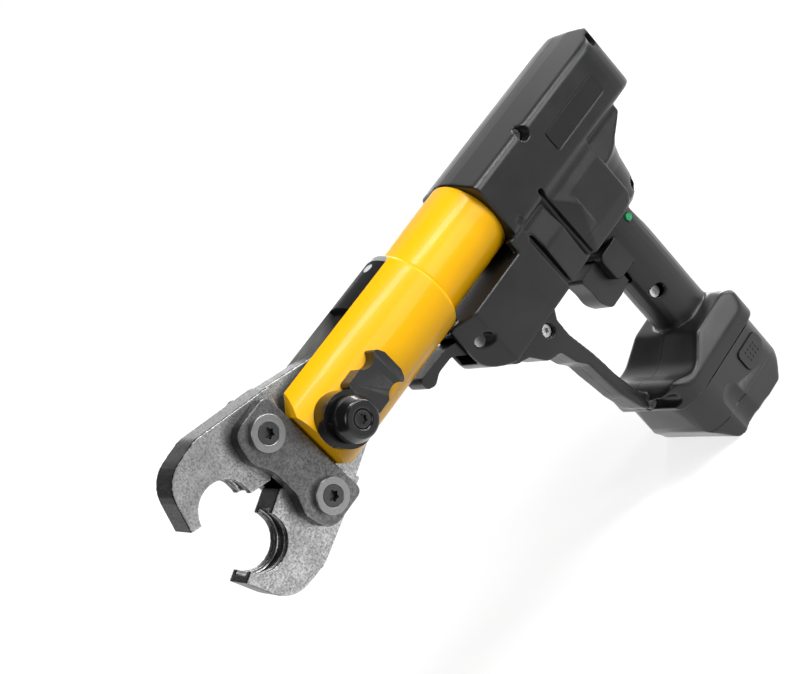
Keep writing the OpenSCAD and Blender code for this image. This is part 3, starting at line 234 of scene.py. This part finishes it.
PATCH_TONE = (1.35, 0.002)          # times and plus: lighter patches on the plastics
EDGE_HIGHLIGHT_TONE = (3.0, 0.05)         # times and plus: painted highlight on their edges
POLISHED_ROUGH = 0.55               # roughness of rubbed edges against the rest
ENAMEL_TONE = 0.94                  # deeper patches of the enamel
LINE_TONE = 0.78                    # darker lines on worked metal
PLASTIC_SWING = (-0.05, 0.05)       # how far roughness goes below and above its middle
ENAMEL_SWING = (-0.04, 0.05)
FORGED_SWING = (0.1, -0.06)
LINE_SWING = (-0.06, 0.08)
WORN_PRIMER = (0.42, 0.36, 0.27)    # what shows where the enamel is rubbed through
RUBBED_STEEL = (0.72, 0.72, 0.71)   # bare edges of the forgings
DENT_SHARE = (0.32, 1.0)            # how much of the dark colour the dents and specks take
SPECK_SHARE = (0.0, 0.2)
LENS_DARK = (0.006, 0.22, 0.075)
LENS_LIGHT = (0.015, 0.34, 0.12)
LENS_GLOW = 0.2
ROUND_LINES = (1.0, 1.0, 1.0)       # lines the same every way
LINES_X = (0.05, 1.0, 1.0)          # lines drawn out along the tool


def finish_base(name, color, roughness, metallic=0.0, coat=0.0):
    """Material with a Principled shader and plain starting values."""
    mat = bpy.data.materials.new(name)
    mat.use_nodes = True
    tree = mat.node_tree
    shader = tree.nodes["Principled BSDF"]
    for label, value in (("Base Color", color), ("Roughness", roughness),
                         ("Metallic", metallic), ("Coat Weight", coat)):
        feed(tree, shader.inputs[label], value)
    return mat, tree, shader


def dress(tree, shader, color, roughness):
    """Link a colour and a roughness that change over the surface."""
    tree.links.new(color, shader.inputs["Base Color"])
    tree.links.new(roughness, shader.inputs["Roughness"])


def toned(color, times, plus=0.0):
    """A colour made darker or lighter."""
    return tuple(min(1.0, part * times + plus) for part in color)


def uneven(tree, value, roughness, swing):
    """A roughness that swings about its middle as a value goes from 0 to 1."""
    return spread(tree, value, *(roughness + part for part in swing))


def moulded_plastic(name, color, roughness, grain=0.25, scale=2600.0, wear_and_highlight=0.25, shine=0.3):
    """Moulded plastic with a fine grain, and sharp edges made a little smoother and painted
    lighter as a highlight.
    """
    mat, tree, shader = finish_base(name, color, roughness)
    shader.inputs["Specular IOR Level"].default_value = shine
    skin = use(tree, GRAIN, grain_scale=scale)
    wear_and_highlight_mask = use(tree, WEAR_AND_HIGHLIGHT, reach=wear_and_highlight)["Mask"]
    tone = mix(tree, skin["Tone"], color, toned(color, *PATCH_TONE))
    rough = uneven(tree, skin["Tone"], roughness, PLASTIC_SWING)
    # Sharp edges painted much lighter as a painted highlight, and made smoother by the same mask
    dress(tree, shader, mix(tree, wear_and_highlight_mask, tone, toned(color, *EDGE_HIGHLIGHT_TONE)),
          mix(tree, wear_and_highlight_mask, rough, roughness * POLISHED_ROUGH, "FLOAT"))
    bump(tree, shader, skin["Height"], strength=grain, distance=0.00012)
    return mat


def enamel(name, color, roughness):
    """Gloss paint with a faint orange peel and small dull patches."""
    mat, tree, shader = finish_base(name, color, roughness, coat=0.1)
    shader.inputs["Coat Roughness"].default_value = 0.1
    shader.inputs["Specular IOR Level"].default_value = 0.12
    skin = use(tree, GRAIN, grain_scale=900.0, cloud_scale=28.0)
    wear_and_highlight_mask = use(tree, WEAR_AND_HIGHLIGHT, reach=0.5, break_scale=420.0)["Mask"]
    tone = mix(tree, skin["Tone"], color, toned(color, ENAMEL_TONE))
    dress(tree, shader, mix(tree, wear_and_highlight_mask, tone, WORN_PRIMER),
          uneven(tree, skin["Tone"], roughness, ENAMEL_SWING))
    bump(tree, shader, skin["Height"], strength=0.06, distance=0.00015)
    return mat


def forged_steel(name, dark, light, roughness):
    """Phosphated forging: dented mottled grey, brighter where it is rubbed."""
    mat, tree, shader = finish_base(name, light, roughness, metallic=0.95)
    skin = use(tree, MOTTLE)
    wear_and_highlight_mask = use(tree, WEAR_AND_HIGHLIGHT, reach=1.0, break_scale=160.0)["Mask"]
    middle = tuple((d + c) / 2.0 for d, c in zip(dark, light))
    patched = mix(tree, skin["Patch"], middle, light)
    dented = mix(tree, spread(tree, skin["Dent"], *DENT_SHARE), dark, patched)
    speckled = mix(tree, spread(tree, skin["Speck"], *SPECK_SHARE), dented, dark)
    dress(tree, shader, mix(tree, wear_and_highlight_mask, speckled, RUBBED_STEEL),
          uneven(tree, skin["Dent"], roughness, FORGED_SWING))
    bump(tree, shader, skin["Height"], strength=0.4, distance=0.00012)
    return mat


def worked_steel(name, color, roughness, stretch, scale, metallic=1.0):
    """Turned, ground or plated metal with fine lines."""
    mat, tree, shader = finish_base(name, color, roughness, metallic=metallic)
    line = use(tree, BRUSHED, stretch=stretch, line_scale=scale)["Line"]
    dress(tree, shader, mix(tree, line, toned(color, LINE_TONE), color),
          uneven(tree, line, roughness, LINE_SWING))
    bump(tree, shader, line, strength=0.12, distance=0.00004)
    return mat


def lens_green(name):
    """Lit green lens."""
    mat, tree, shader = finish_base(name, LENS_DARK, roughness=0.2)
    cloud = noise(tree, object_place(tree), scale=700.0, detail=2.0)
    glow = mix(tree, remap(tree, cloud, *CLOUD), LENS_DARK, LENS_LIGHT)
    tree.links.new(glow, shader.inputs["Base Color"])
    tree.links.new(glow, shader.inputs["Emission Color"])
    shader.inputs["Emission Strength"].default_value = LENS_GLOW
    return mat


# Name, colour, roughness, grain depth, grain scale, edge wear and painted edge highlight,
# specular level
PLASTICS = {
    "shell": ("shell_black", (0.0065, 0.0066, 0.0069), 0.33, 0.45, 1500.0, 1.0, 0.42),
    "battery": ("battery_black", (0.012, 0.0121, 0.0125), 0.31, 0.4, 1500.0, 1.0, 0.5),
    "control": ("control_black", (0.012, 0.012, 0.0125), 0.36, 0.2, 2400.0, 0.5, 0.45),
    "cover": ("cover_black", (0.004, 0.004, 0.0042), 0.6, 0.2, 2400.0, 0.3, 0.12),
    "badge": ("badge_black", (0.003, 0.003, 0.0032), 0.16, 0.03, 3600.0, 0.1, 0.5),
    "oxide": ("black_oxide", (0.004, 0.004, 0.0042), 0.2, 0.08, 3600.0, 0.5, 0.5),
    "rubber": ("tank_rubber", (0.016, 0.015, 0.014), 0.6, 0.4, 1800.0),
    "board": ("board_lacquer", (0.012, 0.09, 0.035), 0.4, 0.2, 1500.0),
    "sleeve": ("cell_sleeve", (0.03, 0.09, 0.26), 0.3, 0.1, 1500.0),
}

# Name, dark and light colour, roughness
FORGINGS = {
    "forging": ("jaw_forging", (0.06, 0.061, 0.063), (0.85, 0.852, 0.85), 0.32),
    "plate": ("plate_forging", (0.05, 0.051, 0.053), (0.3, 0.302, 0.303), 0.36),
    # Darker copy of the forging for the sides that turn away: painted shade
    "painted_shade_side": ("painted_shade_side", (0.012, 0.0122, 0.0127), (0.06, 0.0605, 0.062), 0.38),
}

# Name, colour, roughness, stretch and scale of the lines, metallic where it is below 1
METALS = {
    "milled": ("slot_milled", (0.4, 0.4, 0.395), 0.36, LINES_X, 1300.0, 0.7),
    "washer": ("washer_turned", (0.34, 0.34, 0.338), 0.36, ROUND_LINES, 1600.0),
    "bolt": ("bolt_ground", (0.1, 0.1, 0.104), 0.36, (1.0, 0.1, 1.0), 1200.0),
    "screw": ("screw_zinc", (0.72, 0.725, 0.74), 0.3, ROUND_LINES, 2400.0, 0.55),
    "bright": ("bright_ground", (0.62, 0.62, 0.61), 0.28, LINES_X, 1400.0),
    "bronze": ("bronze_turned", (0.55, 0.36, 0.14), 0.34, (1.0, 0.1, 0.1), 1200.0),
    "alloy": ("pump_alloy", (0.58, 0.585, 0.59), 0.42, (1.0, 1.0, 0.1), 900.0),
    "can": ("motor_plated", (0.40, 0.41, 0.43), 0.36, (0.06, 1.0, 1.0), 900.0),
    "copper": ("rotor_wound", (0.62, 0.30, 0.12), 0.36, LINES_X, 1500.0),
    "nickel": ("strap_nickel", (0.66, 0.65, 0.62), 0.3, (1.0, 0.1, 1.0), 1500.0),
}

FINISH = {
    **{key: moulded_plastic(*row) for key, row in PLASTICS.items()},
    **{key: forged_steel(*row) for key, row in FORGINGS.items()},
    **{key: worked_steel(*row) for key, row in METALS.items()},
    "yellow": enamel("barrel_yellow", (0.9, 0.46, 0.002), 0.36),
    "lens": lens_green("status_lens"),
}


# Pieces: lengths in metres, turns in degrees

WELD = 3e-6                     # points closer than this are one
FLAT_TURN = 0.5                 # faces that turn less than this are one flat
EASE_TURN = 30.0                # edges that turn more than this are eased
CREASE_TURN = 35.0              # edges that turn more than this stay sharp on an eased piece
ROUNDED_TURN = 180.0            # no edge of a rebuilt piece stays sharp
SPLIT_TURN = 60.0               # only the edge of the split stays sharp on a shell

SMOOTHING = 0.5                 # strength of each round of smoothing
SOFTER_ROUNDS = 70              # rounds where a moulding rounds over most
SHELL_GRID = (0.0006, 9, 0.3)   # voxel, rounds of smoothing, share of faces kept
TRAY_GRID = (0.0006, 2, 0.3)
FORGED_GRID = (0.0005, 3)

REAR_X = (0.066, 0.080)         # the rear end starts to round and is fully round
REAR_Z = (0.150, 0.165)
FOOT_LOW = (0.046, 0.051)       # the same at the foot's lower and upper end
FOOT_HIGH = (0.078, 0.092)
SEAM_BELOW = (0.006, 0.002)     # the tray stops rounding this far under its seam
SCREW_NEAR = (0.006, 0.010)     # nothing rounds this close to a screw

LEFT = -1.0                     # each side's direction along y
RIGHT = 1.0
SPLIT_NEAR = 1e-4               # faces this close to the middle plane lie on the split
SPLIT_MERGE = 2e-4              # the two halves join where they are this close
SPLIT_GAP = 0.0002              # each shell ends this far from the middle plane
CUT_NEAR = 1e-6                 # points this close to the cut are on it

FACE_ON_SHARE = 0.75             # faces that look at least this much along y keep their finish; the rest get painted shade
SLOT_HALF = 0.0107              # half the width of the fork's slot

BADGE_HALF = (0.0249, 0.0064, 1.0)
BADGE_CORNER = 0.0016
BADGE_THICK = 0.0007
BADGE_EASE = 0.0002
BADGE_PLACE = (0.0395, -0.02785, 0.210)

# Solid, body, finish, width of the ease, segments
EASED = (
    ("slot_cover_upper", "swivel_head", "cover", 0.0004, 2),
    ("slot_cover_lower", "swivel_head", "cover", 0.0004, 2),
    ("jaw_washers", "swivel_head", "washer", 0.0005, 2),
    ("jaw_bolts", "swivel_head", "bolt", 0.0004, 2),
    ("hydraulic_barrel", "drive_unit", "yellow", 0.0004, 2),
    ("retaining_pin", "pin", "oxide", 0.001, 3),
    ("pin_knob", "pin", "oxide", 0.0012, 4),
    ("lock_slide", "lock_slide", "control", 0.0008, 3),
    ("trigger", "trigger", "control", 0.0012, 3),
    ("reset_lever", "reset_lever", "control", 0.0009, 3),
    ("battery_case", "battery", "battery", 0.0008, 3),
    ("latch_button_left", "latch_left", "control", 0.0004, 2),
    ("latch_button_right", "latch_right", "control", 0.0004, 2),
)

# Solid, body, finish
FORGED = (
    ("cheek_plate_left", "swivel_head", "plate"),
    ("cheek_plate_right", "swivel_head", "plate"),
    ("upper_jaw", "upper_jaw", "forging"),
    ("lower_jaw", "lower_jaw", "forging"),
)

# Solids that keep their shape, by finish
COATED = {
    "screw": ("housing_screws", "cover_screws", "reset_pivot", "battery_screws"),
    "oxide": ("knob_screw",),
    "bright": ("swivel_ring", "eccentric_shaft", "piston_rod", "roller_axles",
               "upper_roller", "lower_roller"),
    "bronze": ("gland_nut",),
    "alloy": ("pump_block",),
    "rubber": ("oil_reservoir",),
    "can": ("gearbox", "motor_can"),
    "copper": ("motor_rotor",),
    "control": ("switch_body", "terminal_block"),
    "board": ("control_board",),
    "lens": ("status_light",),
    "bolt": ("roller_yoke",),
    "sleeve": ("battery_cells",),
    "nickel": ("cell_straps",),
}


def coat(node, finish):
    """Give a carried-over solid its finish."""
    for place in solids[node].material_slots:
        place.link = "OBJECT"
        place.material = FINISH[finish]


def shaped(name, bm, finish, body, sharp=CREASE_TURN, weighted=True):
    """Turn a bmesh into a piece that rides on a body."""
    bmesh.ops.recalc_face_normals(bm, faces=bm.faces)
    mesh = bpy.data.meshes.new(name)
    bm.to_mesh(mesh)
    bm.free()
    piece = bpy.data.objects.new(name, mesh)
    bpy.context.scene.collection.objects.link(piece)
    mesh.materials.append(FINISH[finish])
    mesh.shade_smooth()
    mesh.set_sharp_from_angle(angle=math.radians(sharp))
    if weighted:
        even = piece.modifiers.new("even_flats", "WEIGHTED_NORMAL")
        even.keep_sharp = True
    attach(piece, body)
    return piece


def whole(bm):
    """Every point, edge and face of a bmesh."""
    return bm.verts[:] + bm.edges[:] + bm.faces[:]


def joined(node):
    """Copy of a solid's mesh with its loose triangles joined and its flats merged."""
    bm = bmesh.new()
    bm.from_mesh(solids[node].data)
    bmesh.ops.remove_doubles(bm, verts=bm.verts, dist=WELD)
    bmesh.ops.dissolve_limit(bm, angle_limit=math.radians(FLAT_TURN),
                             verts=bm.verts, edges=bm.edges)
    return bm


def eased(node, body, finish, width, segments):
    """Stand-in for a solid, with its sharp edges eased."""
    bm = joined(node)
    edges = [e for e in bm.edges
             if e.is_manifold and e.calc_face_angle(0.0) > math.radians(EASE_TURN)]
    bmesh.ops.bevel(bm, geom=edges, offset=width, offset_type="OFFSET", segments=segments,
                    profile=0.5, affect="EDGES", clamp_overlap=True, material=-1)
    piece = shaped(node + "_eased", bm, finish, body)
    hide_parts(node)
    return piece


def rise(value, low, high):
    """Share of the way from low to high, from 0 to 1."""
    return min(1.0, max(0.0, (value - low) / (high - low)))


def screw_distance(node):
    """Measure from a place to the nearest screw, so that what is near one stays crisp."""
    points = solids[node].data.vertices
    tree = kdtree.KDTree(len(points))
    for row, point in enumerate(points):
        tree.insert(point.co, row)
    tree.balance()

    def distance(place):
        _, _, away = tree.find(place)
        return away

    return distance


def housing_softness():
    """How far the shells' edges round at a place: most at the rear end and on the foot."""
    distance = screw_distance("housing_screws")

    def share(place):
        rear = rise(place.x, *REAR_X) * rise(place.z, *REAR_Z)
        foot = rise(place.z, *FOOT_LOW) * (1.0 - rise(place.z, *FOOT_HIGH))
        most = max(rear, foot)
        return most * rise(distance(place), *SCREW_NEAR) if most > 0.0 else 0.0

    return share


def tray_softness():
    """How far the battery tray's edges round at a place: fully, but for its seam."""
    distance = screw_distance("battery_screws")
    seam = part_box("battery_tray")[1][2]
    start, end = (seam - below for below in SEAM_BELOW)

    def share(place):
        most = 1.0 - rise(place.z, start, end)
        return most * rise(distance(place), *SCREW_NEAR) if most > 0.0 else 0.0

    return share


def smoothing(thing, name, rounds):
    """Live smoothing on an object."""
    soft = thing.modifiers.new(name, "SMOOTH")
    soft.factor = SMOOTHING
    soft.iterations = rounds
    return soft


def evaluated(thing):
    """An object with its modifiers worked out."""
    return thing.evaluated_get(bpy.context.evaluated_depsgraph_get())


def rebuilt(bm, voxel, rounds, kept=1.0, softness=None):
    """A shape rebuilt on a fine grid with rounded edges, rounder where softness says."""
    mesh = bpy.data.meshes.new("raw")
    bm.to_mesh(mesh)
    bm.free()
    raw = bpy.data.objects.new("raw", mesh)
    bpy.context.scene.collection.objects.link(raw)
    grid = raw.modifiers.new("grid", "REMESH")
    grid.mode = "VOXEL"
    grid.voxel_size = voxel
    smoothing(raw, "soft", rounds)
    if softness:
        raw.data = bpy.data.meshes.new_from_object(evaluated(raw))
        raw.modifiers.clear()
        group = raw.vertex_groups.new(name="softer")
        for point in raw.data.vertices:
            share = softness(point.co)
            if share > 0.0:
                group.add([point.index], share, "REPLACE")
        smoothing(raw, "softer", SOFTER_ROUNDS).vertex_group = group.name
    if kept < 1.0:
        fewer = raw.modifiers.new("fewer", "DECIMATE")
        fewer.ratio = kept
    out = bmesh.new()
    out.from_mesh(evaluated(raw).to_mesh())
    bpy.data.objects.remove(raw)
    return out


def moulded(node, body, finish, grid, softness=None):
    """Stand-in for a moulded or forged solid, rebuilt with rounded edges."""
    bm = rebuilt(joined(node), *grid, softness=softness)
    piece = shaped(node + "_moulded", bm, finish, body, sharp=ROUNDED_TURN, weighted=False)
    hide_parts(node)
    return piece


def housing_shell(node, side, softness):
    """Stand-in for a shell: rebuilt with its mirror image, which rounds the split, and cut."""
    bm = joined(node)
    on_split = [f for f in bm.faces if all(abs(v.co.y) < SPLIT_NEAR for v in f.verts)]
    bmesh.ops.delete(bm, geom=on_split, context="FACES")
    bmesh.ops.mirror(bm, geom=whole(bm), matrix=Matrix.Identity(4), merge_dist=SPLIT_MERGE,
                     axis="Y")
    bmesh.ops.recalc_face_normals(bm, faces=bm.faces)
    bm = rebuilt(bm, *SHELL_GRID, softness=softness)
    cut = bmesh.ops.bisect_plane(bm, geom=whole(bm), dist=CUT_NEAR,
                                 plane_co=(0.0, side * SPLIT_GAP, 0.0),
                                 plane_no=(0.0, -side, 0.0), clear_outer=True)
    rim = [part for part in cut["geom_cut"] if isinstance(part, bmesh.types.BMEdge)]
    bmesh.ops.triangle_fill(bm, use_beauty=False, edges=rim, normal=(0.0, -side, 0.0))
    piece = shaped(node + "_moulded", bm, "shell", "drive_unit",
                   sharp=SPLIT_TURN, weighted=False)
    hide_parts(node)
    return piece


def paint_side_shade(piece):
    """Paint the sides that turn away from y darker than the faces, as painted shade."""
    piece.data.materials.append(FINISH["painted_shade_side"])
    for face in piece.data.polygons:
        # Faces that turn away from y take the darker copy: painted shade by which way they look
        if abs(face.normal.y) < FACE_ON_SHARE:
            face.material_index = 1


def bare_slot(head):
    """Leave the milled walls of the fork's slot unpainted."""
    head.data.materials.append(FINISH["milled"])
    for face in head.data.polygons:
        if all(abs(head.data.vertices[v].co.y) < SLOT_HALF for v in face.vertices):
            face.material_index = 1


def bare_badge():
    """Plain plate in the shallow recess on the left side of the motor housing."""
    bm = bmesh.new()
    bmesh.ops.create_grid(bm, x_segments=1, y_segments=1, size=1.0)
    bmesh.ops.scale(bm, vec=BADGE_HALF, verts=bm.verts)
    bmesh.ops.bevel(bm, geom=bm.verts[:], offset=BADGE_CORNER, segments=4, profile=0.5,
                    affect="VERTICES", material=-1)
    raised = bmesh.ops.extrude_face_region(bm, geom=bm.faces[:])
    top = [v for v in raised["geom"] if isinstance(v, bmesh.types.BMVert)]
    bmesh.ops.translate(bm, vec=(0.0, 0.0, BADGE_THICK), verts=top)
    rims = [e for e in bm.edges if all(v in top for v in e.verts)]
    bmesh.ops.bevel(bm, geom=rims, offset=BADGE_EASE, offset_type="OFFSET", segments=2,
                    profile=0.5, affect="EDGES", material=-1)
    upright = Matrix.Rotation(math.radians(90.0), 4, "X")
    bmesh.ops.transform(bm, matrix=Matrix.Translation(BADGE_PLACE) @ upright, verts=bm.verts)
    shaped("badge_plate", bm, "badge", "drive_unit")


def coil_spring():
    """Return spring on the ram, with a mesh of its own; the real spring shortens towards the
    piston as the ram goes out.
    """
    spring = shaped("return_coil", joined("return_spring"), "bright", "ram")
    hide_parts("return_spring")
    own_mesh(spring)


def build_tool():
    """Dress every solid that shows, and coat the ones inside."""
    round_housing = housing_softness()
    housing_shell("housing_left", LEFT, round_housing)
    housing_shell("housing_right", RIGHT, round_housing)
    bare_slot(eased("fork_head", "swivel_head", "yellow", 0.0006, 2))
    bare_badge()
    coil_spring()
    # Forgings and cheek plates, with painted shade on their sides
    for node, body, finish in FORGED:
        paint_side_shade(moulded(node, body, finish, FORGED_GRID))
    for row in EASED:
        eased(*row)
    moulded("battery_tray", "battery", "battery", TRAY_GRID, tray_softness())
    for finish, nodes in COATED.items():
        for node in nodes:
            coat(node, finish)


# Studio: lengths in metres, lamps in watts

FLOOR_HALF = 6.0
FLOOR_GREY = (0.25, 0.25, 0.25)
FLOOR_SEEN = (0.35, 1.3, 0.76, 1.0)     # start, end, and the camera's white at each
FLOOR_ACROSS = (-0.6, 0.8, 0.0)         # direction in which the floor's reflection rises
FLOOR_SHINE = (-0.52, -0.2, 0.1, 1.0)   # start, end, and the reflection at each
ROOM_AHEAD = (0.8, 0.5, -0.33)          # direction in which the surround's reflection rises
ROOM_SHINE = (0.1, 0.75, 0.05, 1.0)     # start, end, and the reflection at each
ROOM_LIGHT = 0.08                       # level at which the surround lights the tool

# Name, place, aim, width, height, power
MIDDLE = (-0.09, 0.0, 0.15)
LAMPS = (
    ("key_lamp", (0.42, -0.5, 1.2), MIDDLE, 0.2, 0.6, 11.0),
    ("fill_lamp", (-0.85, -0.6, 1.0), MIDDLE, 0.6, 0.6, 5.0),
    ("top_lamp", (0.4, 0.6, 1.0), MIDDLE, 0.8, 0.5, 0.8),
    ("side_lamp", (0.5, -0.9, 0.5), MIDDLE, 0.6, 0.6, 7.0),
    ("strip_lamp", (0.86, 0.64, 0.35), (0.08, 0.0, 0.1), 0.2, 0.8, 5.0),
    ("back_lamp", (0.0, 1.0, 0.2), (-0.05, 0.0, 0.17), 0.8, 0.3, 3.5),
    ("rim_lamp", (0.95, -0.3, 0.45), (0.03, 0.0, 0.13), 0.2, 0.7, 7.0),
)

CAMERA_SENSOR = 36.0
CAMERA_LENS = 73.5
CAMERA_PLACE = (-0.478, -0.763, 0.519)
CAMERA_RIGHT = (0.5503, -0.5276, -0.6472)
CAMERA_BACK = (-0.395, -0.847, 0.355)


def build_floor():
    """Pale floor that keeps the tool's shadow."""
    bm = bmesh.new()
    bmesh.ops.create_grid(bm, x_segments=1, y_segments=1, size=FLOOR_HALF)
    mesh = bpy.data.meshes.new("studio_floor")
    bm.to_mesh(mesh)
    bm.free()
    floor = bpy.data.objects.new("studio_floor", mesh)
    bpy.context.scene.collection.objects.link(floor)
    mat, tree, shader = finish_base("floor_white", FLOOR_GREY, roughness=0.9)
    rays = add(tree, "ShaderNodeLightPath").outputs
    place = object_place(tree)
    far = add(tree, "ShaderNodeVectorMath", operation="LENGTH")
    tree.links.new(place, far.inputs[0])
    seen = combine(tree, "MULTIPLY", rays["Is Camera Ray"],
                   remap(tree, far.outputs["Value"], *FLOOR_SEEN))
    shine = combine(tree, "MULTIPLY", rays["Is Glossy Ray"],
                    remap(tree, along(tree, place, FLOOR_ACROSS), *FLOOR_SHINE))
    glow = add(tree, "ShaderNodeEmission")
    both = add(tree, "ShaderNodeAddShader")
    tree.links.new(combine(tree, "ADD", seen, shine), glow.inputs["Strength"])
    tree.links.new(shader.outputs[0], both.inputs[0])
    tree.links.new(glow.outputs[0], both.inputs[1])
    tree.links.new(both.outputs[0], tree.nodes["Material Output"].inputs["Surface"])
    mesh.materials.append(mat)


def build_world():
    """White surround for the camera; reflections see it ahead, and its own light is low."""
    world = bpy.data.worlds.new("studio_world")
    bpy.context.scene.world = world
    world.use_nodes = True
    tree = world.node_tree
    back = tree.nodes["Background"]
    rays = add(tree, "ShaderNodeLightPath").outputs
    place = add(tree, "ShaderNodeTexCoord").outputs["Generated"]
    room = remap(tree, along(tree, place, ROOM_AHEAD), *ROOM_SHINE, curve="SMOOTHSTEP")
    shiny = mix(tree, rays["Is Glossy Ray"], ROOM_LIGHT, room, "FLOAT")
    seen = combine(tree, "MAXIMUM", rays["Is Camera Ray"], rays["Is Transmission Ray"])
    back.inputs["Color"].default_value = (1.0, 1.0, 1.0, 1.0)
    tree.links.new(combine(tree, "MAXIMUM", seen, shiny), back.inputs["Strength"])


def soft_box(name, place, target, width, height, power):
    """Rectangular lamp aimed at a point."""
    lamp = bpy.data.lights.new(name, "AREA")
    lamp.shape = "RECTANGLE"
    lamp.size = width
    lamp.size_y = height
    lamp.energy = power
    thing = bpy.data.objects.new(name, lamp)
    thing.location = place
    aim = Vector(target) - Vector(place)
    thing.rotation_euler = aim.to_track_quat("-Z", "Y").to_euler()
    thing.visible_camera = False
    bpy.context.scene.collection.objects.link(thing)


def build_camera():
    """Camera at the photograph's angle."""
    eye = bpy.data.cameras.new("photo_camera")
    eye.sensor_width = CAMERA_SENSOR
    eye.lens = CAMERA_LENS
    camera = bpy.data.objects.new("photo_camera", eye)
    right = Vector(CAMERA_RIGHT).normalized()
    back = Vector(CAMERA_BACK).normalized()
    up = back.cross(right).normalized()
    right = up.cross(back).normalized()
    turn = Matrix((right, up, back)).transposed().to_4x4()
    camera.matrix_world = Matrix.Translation(CAMERA_PLACE) @ turn
    bpy.context.scene.collection.objects.link(camera)
    bpy.context.scene.camera = camera


def build_studio():
    """Floor, surround, lamps and camera."""
    build_floor()
    build_world()
    for lamp in LAMPS:
        soft_box(*lamp)
    build_camera()
    bpy.context.scene.view_settings.view_transform = "Standard"


build_tool()
build_studio()
